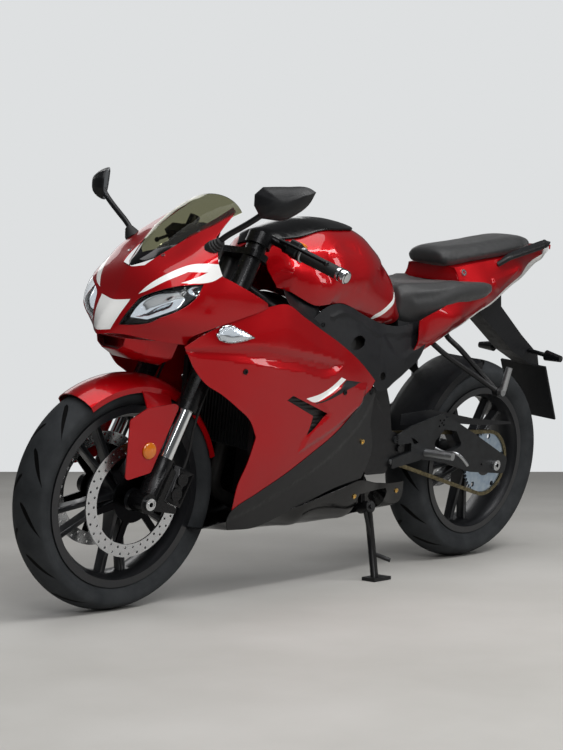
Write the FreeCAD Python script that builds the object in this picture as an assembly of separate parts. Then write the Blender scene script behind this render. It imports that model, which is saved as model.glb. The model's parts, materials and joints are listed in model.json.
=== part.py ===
"""Sport bike of about 150 cc, parked on its side stand.

The machine is drawn upright, in millimetres: x runs forward from the rear axle,
y to the rider's left and z up from the road. What turns with the handlebars is
drawn in the steering frame (n forward across the steering axis, y left, s up along
it), whose origin is the point of the axis nearest the front axle. At the end the
whole machine is leaned onto its side stand.
"""
import FreeCAD
import Part
import math
import os

V = FreeCAD.Vector

# ---- driving dimensions -------------------------------------------------------------
WHEELBASE = 1385.0
LEAN_DEG = 8.2                # lean onto the side stand
MIRROR_Y = 346.0              # middle of each mirror
BAR_Y = 338.0                 # end of each handlebar

RAKE_DEG = 24.5               # steering axis, from the vertical
FORK_OFFSET = 28.0            # fork legs ahead of the steering axis
AXLE_LUG = 12.0               # front axle ahead of the fork legs
FORK_SPACING = 200.0          # between the centre lines of the two legs

FRONT_TYRE_R = 293.0
FRONT_TYRE_W = 110.0
REAR_TYRE_R = 311.0
REAR_TYRE_W = 140.0
RIM_LIP_R = 228.5
RIM_SEAT_R = 215.9            # 17 inch bead seat
FRONT_RIM_W = 88.0            # over the rim lips
REAR_RIM_W = 114.0
TYRE_WALL = 9.0
LIP_T = 5.0                   # rim flange
SPOKE_PAIRS = 5

AXLE_R = 9.0
AXLE_WALL = 3.0               # both axles are hollow
RUN = 0.05                    # radial clearance of a running fit
SIDE_RUN = 0.7                # clearance beside a turning hub
SEAM = 0.5                    # gap between panels that meet, and of a seated shell
FIT = 0.3                     # clearance of pieces that are pushed together

FRONT_DISC_R = 146.0
FRONT_HUB_Y = 63.0            # face that each front disc is bolted to
REAR_DISC_R = 110.0
REAR_HUB_Y = 81.0             # face on the right that the rear disc is bolted to
DISC_T = 4.5
DISC_HOLE_R = 3.2

CHAIN_PITCH = 12.7
REAR_TEETH = 48
FRONT_TEETH = 15
CHAIN_SPAN = 544.0            # least distance between the sprockets' centres
CHAIN_Y = 88.0                # middle of the chain line
ROLLER_R = 4.0
SPROCKET_T = 6.0
SHAFT_R = 12.0                # gearbox shaft
SHAFT_Z = 395.0

STANCHION_R = 20.5
OUTER_TUBE_WALL = 6.2
STEM_R = 15.0
BAR_R = 11.0
GRIP_T = 5.5
PANEL = 3.0                   # wall of the plastic panels
HOSE_R = 3.5

PIVOT_X = 478.0               # swingarm pivot
PIVOT_Z = 388.0
PIVOT_TUBE_R = 20.0
PIVOT_BOLT_R = 10.0
ARM_IN = 106.0                # swingarm side plates, inner face
ARM_T = 20.0
PIVOT_GAP = 1.0               # beside the swingarm
PLATE_T = 8.0                 # frame pivot plates

BOBBIN_X = 64.0               # threaded holes for paddock stand bobbins
BOBBIN_Z = 316.0
BOBBIN_R = 4.0
BOBBIN_DEPTH = 17.0

STAND_PIVOT = V(565, 122, 222)
STAND_FOOT = V(572, 182, 0)   # its height follows from the lean
STAND_R = 11.0
STAND_PIN_R = 6.0

# The tables and outlines are drawn at this wheelbase; a longer one stretches the
# machine between these two places and carries along all that is ahead of them.
DRAWN_WHEELBASE = 1385.0
STRETCH_FROM = 640.0
STRETCH_TO = 1040.0

# ---- places that follow from them ---------------------------------------------------
lean = math.radians(LEAN_DEG)
rake = math.radians(RAKE_DEG)
REAR_AXLE = V(0, 0, REAR_TYRE_R)
FRONT_AXLE = V(WHEELBASE, 0, FRONT_TYRE_R)
ACROSS = V(math.cos(rake), 0, math.sin(rake))
ALONG = V(-math.sin(rake), 0, math.cos(rake))
AXLE_OFFSET = FORK_OFFSET + AXLE_LUG
SPACER_R = AXLE_R + 5         # spacers between the hubs and what holds the axles
STEER_ORIGIN = FRONT_AXLE - ACROSS * AXLE_OFFSET
FORK_Y = FORK_SPACING / 2
OUTER_TUBE_R = STANCHION_R + FIT + OUTER_TUBE_WALL
LUG_IN = FORK_Y - OUTER_TUBE_R + 2
LUG_OUT = FORK_Y + OUTER_TUBE_R
FRONT_DISC_Y = FRONT_HUB_Y + FIT + DISC_T / 2
REAR_DISC_Y = -(REAR_HUB_Y + FIT + DISC_T / 2)
REAR_PITCH_R = CHAIN_PITCH * REAR_TEETH / (2 * math.pi)
FRONT_PITCH_R = CHAIN_PITCH * FRONT_TEETH / (2 * math.pi)
ARM_OUT = ARM_IN + ARM_T
PLATE_IN = ARM_OUT + PIVOT_GAP
PLATE_OUT = PLATE_IN + PLATE_T


def floor_height(y):
    """Height of the road under the leaned machine, in its upright frame."""
    return y * math.tan(lean)


def fore(x):
    """Where a place of the tables lies at the wheelbase that is set."""
    share = (x - STRETCH_FROM) / (STRETCH_TO - STRETCH_FROM)
    return x + (WHEELBASE - DRAWN_WHEELBASE) * min(max(share, 0), 1)


def place(x, y, z):
    return V(fore(x), y, z)


# ---- small tools --------------------------------------------------------------------
def polygon(points):
    corners = [V(*p) for p in points]
    return Part.Face(Part.makePolygon(corners + corners[:1]))


def box(x0, x1, y0, y1, z0, z1):
    return Part.makeBox(x1 - x0, y1 - y0, z1 - z0, V(x0, y0, z0))


def rod(start, end, radius):
    start, end = V(*start), V(*end)
    return Part.makeCylinder(radius, (end - start).Length, start, end - start)


def cone(start, end, radius0, radius1):
    start, end = V(*start), V(*end)
    return Part.makeCone(radius0, radius1, (end - start).Length, start, end - start)


def cross(x, z, y0, y1, radius):
    """A cylinder across the machine."""
    return Part.makeCylinder(radius, y1 - y0, V(x, y0, z), V(0, 1, 0))


def fuse(shapes):
    shapes = list(shapes)
    return shapes[0].fuse(shapes[1:]).removeSplitter() if len(shapes) > 1 else shapes[0]


def mirrored(shape):
    return shape.mirror(V(0, 0, 0), V(0, 1, 0))


def both_sides(shape):
    return Part.makeCompound([shape, mirrored(shape)])


def rounded_wire(points, radius):
    """Closed wire through 3-D points, each corner an arc of up to that radius."""
    points = [V(*p) for p in points]
    count = len(points)
    ins, outs, mids = [], [], []
    for i, corner in enumerate(points):
        back = points[i - 1] - corner
        ahead = points[(i + 1) % count] - corner
        half = back.getAngle(ahead) / 2
        reach = min(radius / math.tan(half), 0.45 * back.Length, 0.45 * ahead.Length)
        back.normalize()
        ahead.normalize()
        middle = back + ahead
        middle.normalize()
        arc_r = reach * math.tan(half)
        ins.append(corner + back * reach)
        outs.append(corner + ahead * reach)
        mids.append(corner + middle * (arc_r / math.sin(half) - arc_r))
    edges = []
    for i in range(count):
        edges.append(Part.Arc(ins[i], mids[i], outs[i]).toShape())
        edges.append(Part.LineSegment(outs[i], ins[(i + 1) % count]).toShape())
    return Part.Wire(edges)


def slab(outline, y0, y1, radius=0):
    """Plate lying in x and z between two distances from the middle plane."""
    points = [(fore(x), y0, z) for x, z in outline]
    face = Part.Face(rounded_wire(points, radius)) if radius else polygon(points)
    return face.extrude(V(0, y1 - y0, 0))


def bent_tube(points, radius, bend):
    """Round bar along straight runs joined by tangent arcs."""
    points = [V(*p) for p in points]
    edges = []
    start = points[0]
    for i in range(1, len(points) - 1):
        corner = points[i]
        back = points[i - 1] - corner
        ahead = points[i + 1] - corner
        half = back.getAngle(ahead) / 2
        reach = min(bend / math.tan(half), 0.45 * back.Length, 0.45 * ahead.Length)
        back.normalize()
        ahead.normalize()
        middle = back + ahead
        middle.normalize()
        arc_r = reach * math.tan(half)
        enter = corner + back * reach
        leave = corner + ahead * reach
        mid = corner + middle * (arc_r / math.sin(half) - arc_r)
        edges.append(Part.LineSegment(start, enter).toShape())
        edges.append(Part.Arc(enter, mid, leave).toShape())
        start = leave
    edges.append(Part.LineSegment(start, points[-1]).toShape())
    path = Part.Wire(edges)
    ring = Part.Wire(Part.makeCircle(radius, points[0], points[1] - points[0]))
    return path.makePipeShell([ring], True, False)


def lathe(profile, centre, angle=360, start=0):
    """Turn a closed (y, radius) outline about an axle; 0 degrees points back."""
    face = profile if isinstance(profile, Part.Face) else polygon([(0, y, r) for y, r in profile])
    face = face.copy()
    face.rotate(V(0, 0, 0), V(0, 1, 0), start - 90)
    solid = face.revolve(V(0, 0, 0), V(0, 1, 0), angle)
    solid.translate(centre)
    return solid


def half_to_ring(half):
    """Left half of a cross-section, from its bottom to its top, to a closed one."""
    return half + [(-y, z) for y, z in reversed(half)]


def inset(ring, depth):
    """Move every side of a closed section inwards by the same depth."""
    moved = []
    count = len(ring)
    for i in range(count):
        lines = []
        for a, b in ((ring[i - 1], ring[i]), (ring[i], ring[(i + 1) % count])):
            dy, dz = b[0] - a[0], b[1] - a[1]
            length = math.hypot(dy, dz)
            ny, nz = -dz / length, dy / length
            lines.append((ny, nz, ny * a[0] + nz * a[1] + depth))
        (a1, b1, c1), (a2, b2, c2) = lines
        det = a1 * b2 - a2 * b1
        if abs(det) < 1e-3:
            moved.append((ring[i][0] + a1 * depth, ring[i][1] + b1 * depth))
        else:
            moved.append(((c1 * b2 - c2 * b1) / det, (a1 * c2 - a2 * c1) / det))
    return moved


def hull(stations, depth=0):
    """Straight-sided loft through cross-sections; each row is x, then (y, z) pairs."""
    wires = []
    for row in stations:
        ring = half_to_ring(list(row[1:]))
        if depth:
            ring = inset(ring, depth)
        wires.append(Part.makePolygon([place(row[0], y, z) for y, z in ring + ring[:1]]))
    return Part.makeLoft(wires, True, True)


def skin(stations, wall):
    """Wall between a lofted body and the same body set in; open at both ends."""
    return hull(stations).cut(hull(stations, wall))


def steered(shape):
    """Move a shape from the steering frame to the machine's frame."""
    turn = FreeCAD.Rotation(V(0, 1, 0), -RAKE_DEG)
    moved = shape.copy()
    moved.Placement = FreeCAD.Placement(STEER_ORIGIN, turn).multiply(moved.Placement)
    return moved


def steer_point(n, y, s):
    return STEER_ORIGIN + ACROSS * n + ALONG * s + V(0, y, 0)


# ---- body sections ------------------------------------------------------------------
# Nose: x, then lip, widest, brow, shoulder, screen edge and crown as (y, z).
NOSE = [
    (1488, (6, 692), (8, 698), (8, 704), (6, 708), (3, 710), (1, 711)),
    (1440, (66, 690), (84, 735), (62, 770), (40, 782), (6, 788), (1, 789)),
    (1400, (112, 689), (132, 745), (118, 805), (66, 848), (8, 866), (1, 867)),
    (1320, (160, 688), (184, 792), (174, 834), (140, 898), (70, 916), (10, 938)),
    (1230, (182, 690), (200, 790), (191, 862), (168, 950), (100, 976), (14, 1011)),
    (1140, (195, 696), (207, 800), (196, 870), (156, 990), (113, 1016), (16, 1056)),
]
# Flank and belly: x, then floor edge, low side, middle, widest and top as (y, z).
FLANK = [
    (390, (78, 205), (100, 270), (128, 430), (140, 540), (120, 640)),
    (640, (100, 187), (143, 310), (162, 450), (175, 575), (160, 650)),
    (850, (105, 186), (152, 320), (180, 460), (203, 640), (186, 740)),
    (1060, (106, 192), (156, 290), (186, 450), (212, 665), (198, 801)),
    (1180, (112, 200), (156, 260), (186, 470), (214, 690), (200, 830)),
    (1280, (90, 290), (128, 380), (165, 540), (171, 689), (200, 850)),
    (1360, (90, 300), (112, 400), (130, 560), (136, 687), (176, 850)),
]
# Tank: x, then base, side, shoulder and crown as (y, z).
TANK = [
    (486, (88, 742), (94, 762), (62, 788), (10, 794)),
    (520, (99, 742), (111, 783), (80, 848), (12, 870)),
    (590, (108, 744), (129, 803), (88, 914), (14, 945)),
    (643, (118, 757), (140, 828), (92, 948), (14, 980)),
    (700, (128, 772), (153, 850), (92, 974), (16, 997)),
    (820, (145, 790), (163, 870), (80, 984), (16, 1001)),
    (920, (146, 790), (156, 862), (75, 966), (14, 983)),
    (985, (100, 822), (108, 875), (66, 942), (12, 958)),
    (1006, (60, 850), (64, 880), (50, 915), (10, 925)),
]
# Tail: x, then low edge, side and top as (y, z); it steps up behind the rider.
TAIL = [
    (450, (100, 640), (139, 690), (128, 735)),
    (300, (92, 700), (137, 745), (128, 802)),
    (262, (90, 716), (135, 760), (126, 800)),
    (256, (90, 718), (134, 763), (84, 904)),
    (120, (80, 775), (123, 830), (90, 928)),
    (-60, (60, 862), (97, 905), (82, 955)),
    (-200, (40, 932), (71, 955), (56, 984)),
    (-312, (14, 974), (24, 984), (14, 994)),
]
# Frame cover: x, then bottom and top as (y, z).
COVER = [
    (380, (122, 500), (112, 830)),
    (540, (150, 500), (126, 830)),
    (700, (162, 500), (138, 830)),
    (915, (176, 500), (150, 830)),
]
# Seats: x, then underside, side and crown as (y, z).
RIDER_SEAT = [
    (482, (62, 744), (84, 780), (66, 838)),
    (430, (92, 744), (102, 790), (72, 846)),
    (340, (116, 776), (131, 806), (80, 850)),
    (264, (120, 802), (133, 828), (76, 866)),
]
# Side wings of the rider's seat beside the tail hump: x, then inner low, outer low,
# outer top and inner top as (y, z).
SEAT_WING = [
    (266, (90, 789), (133, 797), (136, 826), (90, 860)),
    (165, (90, 810), (130, 826), (131, 848), (90, 868)),
    (108, (90, 836), (120, 845), (121, 853), (90, 860)),
]
PILLION = [
    (296, (58, 912), (70, 930), (36, 946)),
    (264, (66, 906), (80, 927), (44, 952)),
    (120, (78, 929), (92, 950), (56, 972)),
    (-60, (74, 956), (88, 980), (52, 1003)),
    (-150, (50, 975), (62, 996), (36, 1006)),
]
# Scoop under the nose: x, then floor, side and top as (y, z).
CHIN = [
    (1446, (30, 656), (50, 668), (56, 689.2)),
    (1400, (44, 634), (82, 652), (94, 689.2)),
    (1330, (50, 622), (98, 645), (118, 689.2)),
]
# Screen: x, half width, crown height, edge height.
SCREEN = [
    (1404, 8, 866, 863),
    (1320, 68, 940, 917),
    (1230, 99, 1013, 977),
    (1150, 112, 1054, 1014),
]
SCREEN_T = 3.0

SPLIT = [(681, 562), (724, 519), (785, 463), (885, 399), (966, 349), (1047, 305), (1124, 262)]
RED_SIDE = ([(1350, 683), (1204, 799), (1139, 799), (1108, 790), (1062, 796),
             (911, 731), (761, 660), (650, 590)] + SPLIT
            + [(1118, 328), (1104, 400), (1100, 456), (1124, 496), (1181, 535),
               (1236, 570), (1316, 630)])
BELLY_SIDE = ([(1116, 196), (392, 180), (400, 268), (560, 292), (632, 310), (622, 399),
               (640, 465), (647, 558)] + [(x, z - 0.8) for x, z in SPLIT])
CHANNEL = [(1330, 676), (1176, 690), (997, 674), (839, 652), (772, 628), (806, 612),
           (990, 634), (1147, 653), (1249, 661)]
CHANNEL_DEPTH = 7.0
VENT = [(1022, 553), (1003, 564), (850, 510), (918, 453), (912, 478), (908, 507)]
NOSE_SIDE = [(1500, 680), (1352, 683.4), (1205, 799.6), (1196, 850), (1178, 940), (1172, 1010),
             (1136, 1060), (1500, 1060)]
LAMP = [(1462, 724), (1399, 802), (1320, 828), (1306, 812), (1338, 792), (1402, 742)]
COVER_SIDE = [(905, 783), (882, 716), (762, 652), (655, 588), (560, 536), (540, 545),
              (470, 620), (384, 702), (384, 728), (500, 733), (589, 738), (700, 768),
              (790, 786)]
TAIL_SIDE = [(452, 638), (298, 700), (136, 772), (-66, 864), (-206, 934), (-312, 970),
             (-312, 1000), (-160, 1000), (300, 1000), (330, 860), (268, 788), (436, 736)]


# ---- wheels -------------------------------------------------------------------------
def tyre(radius, width, rim_width, centre):
    """Round-crowned tyre on its bead seats, hollow inside."""
    half = width / 2
    bead_y = rim_width / 2 - LIP_T - FIT
    shoulder = radius - 0.42 * half
    bead = RIM_SEAT_R + FIT
    over_lip = RIM_LIP_R + 1.5
    widest = (shoulder + over_lip) / 2

    def arc(a, b, c):
        return Part.Arc(V(0, *a), V(0, *b), V(0, *c)).toShape()

    def line(a, b):
        return Part.LineSegment(V(0, *a), V(0, *b)).toShape()

    inner = half - TYRE_WALL
    lip_in = bead_y - TYRE_WALL
    edges = [
        arc((-half, shoulder), (0, radius), (half, shoulder)),
        arc((half, shoulder), (half - 1, widest), (bead_y, over_lip)),
        line((bead_y, over_lip), (bead_y, bead)),
        line((bead_y, bead), (lip_in, bead)),
        arc((lip_in, bead), (inner - 1, widest), (inner, shoulder - 2)),
        arc((inner, shoulder - 2), (0, radius - TYRE_WALL), (-inner, shoulder - 2)),
        arc((-inner, shoulder - 2), (1 - inner, widest), (-lip_in, bead)),
        line((-lip_in, bead), (-bead_y, bead)),
        line((-bead_y, bead), (-bead_y, over_lip)),
        arc((-bead_y, over_lip), (1 - half, widest), (-half, shoulder)),
    ]
    return lathe(Part.Face(Part.Wire(edges)), centre)


def rim(width, hub, centre):
    """Rim well, split spokes and hub in one casting; hub rows are (y, radius)."""
    half = width / 2
    lip = half - LIP_T
    well_r = RIM_SEAT_R - 11
    wall = 7
    profile = [(-half, RIM_LIP_R), (-lip, RIM_LIP_R), (-lip, RIM_SEAT_R),
               (10 - lip, RIM_SEAT_R - 1), (18 - lip, well_r), (lip - 18, well_r),
               (lip - 10, RIM_SEAT_R - 1), (lip, RIM_SEAT_R), (lip, RIM_LIP_R),
               (half, RIM_LIP_R), (half, well_r + 5), (half - 12, well_r + 1),
               (half - 24, well_r - wall), (24 - half, well_r - wall),
               (12 - half, well_r + 1), (-half, well_r + 5)]
    barrel = lathe(profile, V(0, 0, 0))
    outline = [(hub[0][0], 0)] + hub + [(hub[-1][0], 0)]
    centre_boss = lathe(outline, V(0, 0, 0))
    spokes = []
    for pair in range(SPOKE_PAIRS):
        for side in (-1, 1):
            spoke = split_spoke(side)
            spoke.rotate(V(0, 0, 0), V(0, 1, 0), 90 + pair * 360 / SPOKE_PAIRS)
            spokes.append(spoke)
    whole = fuse([barrel, centre_boss] + spokes)
    whole = whole.cut(cross(0, 0, hub[0][0] - 1, hub[-1][0] + 1, AXLE_R + RUN))
    whole.translate(centre)
    return whole


def split_spoke(side):
    """Half of a forked pair, from the hub out to the rim along +x."""
    # columns: distance from the axle, middle of the spoke, half width, half depth
    rows = [(26, 9, 9, 24), (95, 16, 6.5, 17), (RIM_SEAT_R - 15, 34, 8, 15)]
    wires = []
    for reach, middle, half_w, half_d in rows:
        z = side * middle
        corners = [(reach, -half_d, z - half_w), (reach, half_d, z - half_w),
                   (reach, half_d, z + half_w), (reach, -half_d, z + half_w)]
        wires.append(rounded_wire(corners, 4))
    return Part.makeLoft(wires, True, True)


def brake_disc(radius, y, hub_r, band, rows, count):
    """Ring drilled in rows of holes, on a carrier with windows."""
    y0 = y - DISC_T / 2
    y1 = y + DISC_T / 2
    disc = cross(0, 0, y0, y1, radius).cut(cross(0, 0, y0, y1, radius - band))
    carrier = cross(0, 0, y0, y1, hub_r + 14).cut(cross(0, 0, y0, y1, hub_r - 16))
    arms = []
    for i in range(6):
        arm = box(hub_r, radius - band + 6, y0, y1, -9, 9)
        arm.rotate(V(0, 0, 0), V(0, 1, 0), i * 60 + 12)
        arms.append(arm)
    holes = []
    for row in range(rows):
        reach = radius - band * (row + 0.5) / rows
        for i in range(count):
            angle = 2 * math.pi * (i + 0.5 * row) / count
            holes.append(cross(reach * math.cos(angle), reach * math.sin(angle),
                               y0, y1, DISC_HOLE_R))
    return fuse([disc, carrier] + arms).cut(Part.makeCompound(holes))


FRONT_HUB = [(-FRONT_HUB_Y, 46), (-57, 46), (-50, 32), (50, 32), (57, 46), (FRONT_HUB_Y, 46)]
FLANGE_Y = CHAIN_Y - SPROCKET_T / 2 - FIT
HUB_END_Y = CHAIN_Y + SPROCKET_T / 2
REAR_HUB = [(-REAR_HUB_Y, 42), (-74, 42), (-62, 40), (58, 42), (62, 72), (FLANGE_Y, 72),
            (FLANGE_Y, 40), (HUB_END_Y, 40)]


def front_tyre():
    return tyre(FRONT_TYRE_R, FRONT_TYRE_W, FRONT_RIM_W, FRONT_AXLE)


def rear_tyre():
    return tyre(REAR_TYRE_R, REAR_TYRE_W, REAR_RIM_W, REAR_AXLE)


def front_wheel_rim():
    return rim(FRONT_RIM_W, FRONT_HUB, FRONT_AXLE)


def rear_wheel_rim():
    return rim(REAR_RIM_W, REAR_HUB, REAR_AXLE)


def front_brake_discs():
    disc = brake_disc(FRONT_DISC_R, FRONT_DISC_Y, 46, 32, rows=2, count=32)
    disc.translate(FRONT_AXLE)
    return both_sides(disc)


def rear_brake_disc():
    disc = brake_disc(REAR_DISC_R, REAR_DISC_Y, 44, 28, rows=2, count=24)
    disc.translate(REAR_AXLE)
    return disc


# ---- chain drive --------------------------------------------------------------------
STEP_R = REAR_PITCH_R - FRONT_PITCH_R
LEAST_LOOP = 2 * CHAIN_SPAN + math.pi * (REAR_PITCH_R + FRONT_PITCH_R) + STEP_R ** 2 / CHAIN_SPAN
CHAIN_LINKS = 2 * math.ceil(LEAST_LOOP / CHAIN_PITCH / 2)


def chain_centres():
    """Centre distance at which the pitch line is a whole number of links."""
    length = CHAIN_LINKS * CHAIN_PITCH
    step = STEP_R
    distance = 500.0
    for _ in range(20):
        wrap = math.asin(step / distance)
        line = math.sqrt(distance ** 2 - step ** 2)
        loop = 2 * line + (math.pi + 2 * wrap) * REAR_PITCH_R
        loop += (math.pi - 2 * wrap) * FRONT_PITCH_R
        distance += (length - loop) / 2
    return distance, wrap, line


CENTRES, WRAP, RUN_LENGTH = chain_centres()
SHAFT_X = math.sqrt(CENTRES ** 2 - (SHAFT_Z - REAR_TYRE_R) ** 2)
CHAIN_TILT = math.atan2(SHAFT_Z - REAR_TYRE_R, SHAFT_X)


def chain_point(distance):
    """Point of the pitch line, starting where the top run leaves the rear wheel."""
    back_arc = (math.pi + 2 * WRAP) * REAR_PITCH_R
    front_arc = (math.pi - 2 * WRAP) * FRONT_PITCH_R
    top = math.pi / 2 - WRAP
    a = (REAR_PITCH_R * math.cos(top), REAR_PITCH_R * math.sin(top))
    if distance < RUN_LENGTH:
        along = (math.cos(-WRAP), math.sin(-WRAP))
        point = (a[0] + along[0] * distance, a[1] + along[1] * distance)
    elif distance < RUN_LENGTH + front_arc:
        angle = top - (distance - RUN_LENGTH) / FRONT_PITCH_R
        point = (CENTRES + FRONT_PITCH_R * math.cos(angle), FRONT_PITCH_R * math.sin(angle))
    elif distance < 2 * RUN_LENGTH + front_arc:
        back = distance - RUN_LENGTH - front_arc
        start = (CENTRES + FRONT_PITCH_R * math.cos(-top), FRONT_PITCH_R * math.sin(-top))
        along = (-math.cos(WRAP), -math.sin(WRAP))
        point = (start[0] + along[0] * back, start[1] + along[1] * back)
    else:
        angle = -top - (distance - 2 * RUN_LENGTH - front_arc) / REAR_PITCH_R
        point = (REAR_PITCH_R * math.cos(angle), REAR_PITCH_R * math.sin(angle))
    x, z = point
    tilt = CHAIN_TILT
    return (x * math.cos(tilt) - z * math.sin(tilt),
            REAR_TYRE_R + x * math.sin(tilt) + z * math.cos(tilt))


def sprocket(teeth, pitch_r, first, centre_x, centre_z, bore):
    """Toothed plate whose gaps hold the chain's rollers; first is one gap's angle."""
    root = ROLLER_R + 0.5
    tip = 3.0
    half_gap = (ROLLER_R + 0.6) / (pitch_r + tip)
    y0 = CHAIN_Y - SPROCKET_T / 2

    def at(radius, angle):
        return V(centre_x + radius * math.cos(angle), y0, centre_z + radius * math.sin(angle))

    edges = []
    step = 2 * math.pi / teeth
    for i in range(teeth):
        angle = first + i * step
        a = at(pitch_r + tip, angle - half_gap)
        b = at(pitch_r - root, angle)
        c = at(pitch_r + tip, angle + half_gap)
        edges.append(Part.Arc(a, b, c).toShape())
        edges.append(Part.LineSegment(c, at(pitch_r + tip, angle + step - half_gap)).toShape())
    plate = Part.Face(Part.Wire(edges)).extrude(V(0, SPROCKET_T, 0))
    return plate.cut(cross(centre_x, centre_z, y0, y0 + SPROCKET_T, bore))


def rear_sprocket():
    first = roller_angle(0, REAR_TYRE_R, -REAR_PITCH_R, REAR_TYRE_R)
    plate = sprocket(REAR_TEETH, REAR_PITCH_R, first, 0, REAR_TYRE_R, 40 + FIT)
    ring_r = REAR_PITCH_R - 15
    holes = []
    for i in range(5):
        angle = math.radians(i * 72 + 20)
        holes.append(cross(ring_r * math.cos(angle), REAR_TYRE_R + ring_r * math.sin(angle),
                           CHAIN_Y - SPROCKET_T, CHAIN_Y + SPROCKET_T, 8))
    return plate.cut(Part.makeCompound(holes))


def front_sprocket():
    first = roller_angle(SHAFT_X, SHAFT_Z, SHAFT_X + FRONT_PITCH_R, SHAFT_Z)
    return sprocket(FRONT_TEETH, FRONT_PITCH_R, first, SHAFT_X, SHAFT_Z, SHAFT_R + FIT)


def rollers():
    return [chain_point(i * CHAIN_PITCH + 2) for i in range(CHAIN_LINKS)]


def roller_angle(centre_x, centre_z, x, z):
    """Angle about a sprocket's centre of the roller nearest a point."""
    best = min(rollers(), key=lambda p: math.hypot(p[0] - x, p[1] - z))
    return math.atan2(best[1] - centre_z, best[0] - centre_x)


def chain_band(half_height):
    """Outline of the chain's side plates at a distance off the pitch line."""
    rear = REAR_PITCH_R + half_height
    front = FRONT_PITCH_R + half_height
    top = math.pi / 2 - WRAP
    points = []
    for cx, radius, angle in ((0, rear, top), (CENTRES, front, top), (CENTRES, front, 0),
                              (CENTRES, front, -top), (0, rear, -top), (0, rear, math.pi)):
        x, z = cx + radius * math.cos(angle), radius * math.sin(angle)
        points.append(V(x * math.cos(CHAIN_TILT) - z * math.sin(CHAIN_TILT), 0,
                        REAR_TYRE_R + x * math.sin(CHAIN_TILT) + z * math.cos(CHAIN_TILT)))
    edges = [Part.LineSegment(points[0], points[1]).toShape(),
             Part.Arc(points[1], points[2], points[3]).toShape(),
             Part.LineSegment(points[3], points[4]).toShape(),
             Part.Arc(points[4], points[5], points[0]).toShape()]
    return Part.Face(Part.Wire(edges))


def drive_chain():
    plates = []
    loop = chain_band(5.4).cut(chain_band(-5.4))
    for y0 in (CHAIN_Y - 7.0, CHAIN_Y + 4.0):
        plate = loop.copy()
        plate.translate(V(0, y0, 0))
        plates.append(plate.extrude(V(0, 3, 0)))
    pins = [cross(x, z, CHAIN_Y - 4.5, CHAIN_Y + 4.5, ROLLER_R - 0.1) for x, z in rollers()]
    return plates[0].fuse(plates[1:] + pins)


# ---- front end ----------------------------------------------------------------------
# Distances along the steering axis, from its point nearest the front axle.
LOWER_TOP = 121.0             # top of the fork's lower legs
TUBE_OVERLAP = 50.0           # chrome tube inside the lower leg
OUTER_BOTTOM = 262.0
LOWER_YOKE = (470.0, 500.0)
TOP_YOKE = (672.0, 690.0)
CLAMP = (708.0, 738.0)        # handlebar clamps
FORK_TOP = 742.0
TUBE_TOP = 640.0
HEAD = (501.0, 671.0)
COLLAR_R = OUTER_TUBE_R + 3


def fork_rod(s0, s1, radius):
    """Round bar along the left fork leg."""
    return rod((FORK_OFFSET, FORK_Y, s0), (FORK_OFFSET, FORK_Y, s1), radius)


def fork_outer_tubes():
    leg = fork_rod(OUTER_BOTTOM, FORK_TOP, OUTER_TUBE_R)
    collar = fork_rod(OUTER_BOTTOM - 12, OUTER_BOTTOM + 8, COLLAR_R)
    bore = fork_rod(OUTER_BOTTOM - 20, TUBE_TOP + 10, STANCHION_R + FIT)
    return steered(both_sides(leg.fuse(collar).cut(bore)))


def fork_chrome_tubes():
    tube = fork_rod(LOWER_TOP - TUBE_OVERLAP, TUBE_TOP, STANCHION_R)
    bore = fork_rod(0, TUBE_TOP + 10, STANCHION_R - 3.5)
    return steered(both_sides(tube.cut(bore)))


def fork_lowers():
    """Lower legs with their axle lugs and the arms that carry the calipers."""
    leg = fork_rod(-14, LOWER_TOP, OUTER_TUBE_R)
    lug = cross(AXLE_OFFSET, 0, LUG_IN, LUG_OUT, 25)
    outline = [(28, 108), (-38, 108), (-38, 27), (-88, 27), (-92, 12), (28, -18)]
    wire = rounded_wire([(n, FRONT_DISC_Y + 10, s) for n, s in outline], 5)
    arm = Part.Face(wire).extrude(V(0, LUG_IN + 12 - FRONT_DISC_Y - 10, 0))
    bore = fork_rod(LOWER_TOP - TUBE_OVERLAP, LOWER_TOP + 1, STANCHION_R + FIT)
    hole = cross(AXLE_OFFSET, 0, 0, LUG_OUT + 1, AXLE_R + RUN)
    beside = cross(AXLE_OFFSET, 0, 0, FORK_Y - OUTER_TUBE_R, SPACER_R + FIT)
    return steered(both_sides(fuse([leg, lug, arm]).cut(bore).cut(hole).cut(beside)))


def front_axle():
    end = LUG_OUT + 9
    shaft = cross(AXLE_OFFSET, 0, -end, end, AXLE_R)
    spacer = cross(AXLE_OFFSET, 0, FRONT_HUB_Y + SIDE_RUN, FORK_Y - OUTER_TUBE_R - FIT,
                   SPACER_R)
    nut = cross(AXLE_OFFSET, 0, LUG_OUT + FIT, end - 1, AXLE_R + 6)
    hole = cross(AXLE_OFFSET, 0, -end - 1, end + 1, AXLE_R - AXLE_WALL)
    return steered(fuse([shaft, spacer, mirrored(spacer), nut, mirrored(nut)]).cut(hole))


def front_calipers():
    """Caliper bodies that straddle the discs, each on its leg's arm."""
    inner = box(-96, -36, FRONT_DISC_Y - 18, FRONT_DISC_Y + 9, 30, 122)
    outer = box(-96, -39, FRONT_DISC_Y - 4, FRONT_DISC_Y + 24, 30, 122)
    gap = (FRONT_DISC_Y - DISC_T / 2 - 1, FRONT_DISC_Y + DISC_T / 2 + 1)
    slot = cross(AXLE_OFFSET, 0, gap[0], gap[1], FRONT_DISC_R + 5)
    pistons = [cross(-64, s, FRONT_DISC_Y + 24, FRONT_DISC_Y + 29, 17) for s in (56, 96)]
    return steered(both_sides(fuse([inner, outer] + pistons).cut(slot)))


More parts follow.
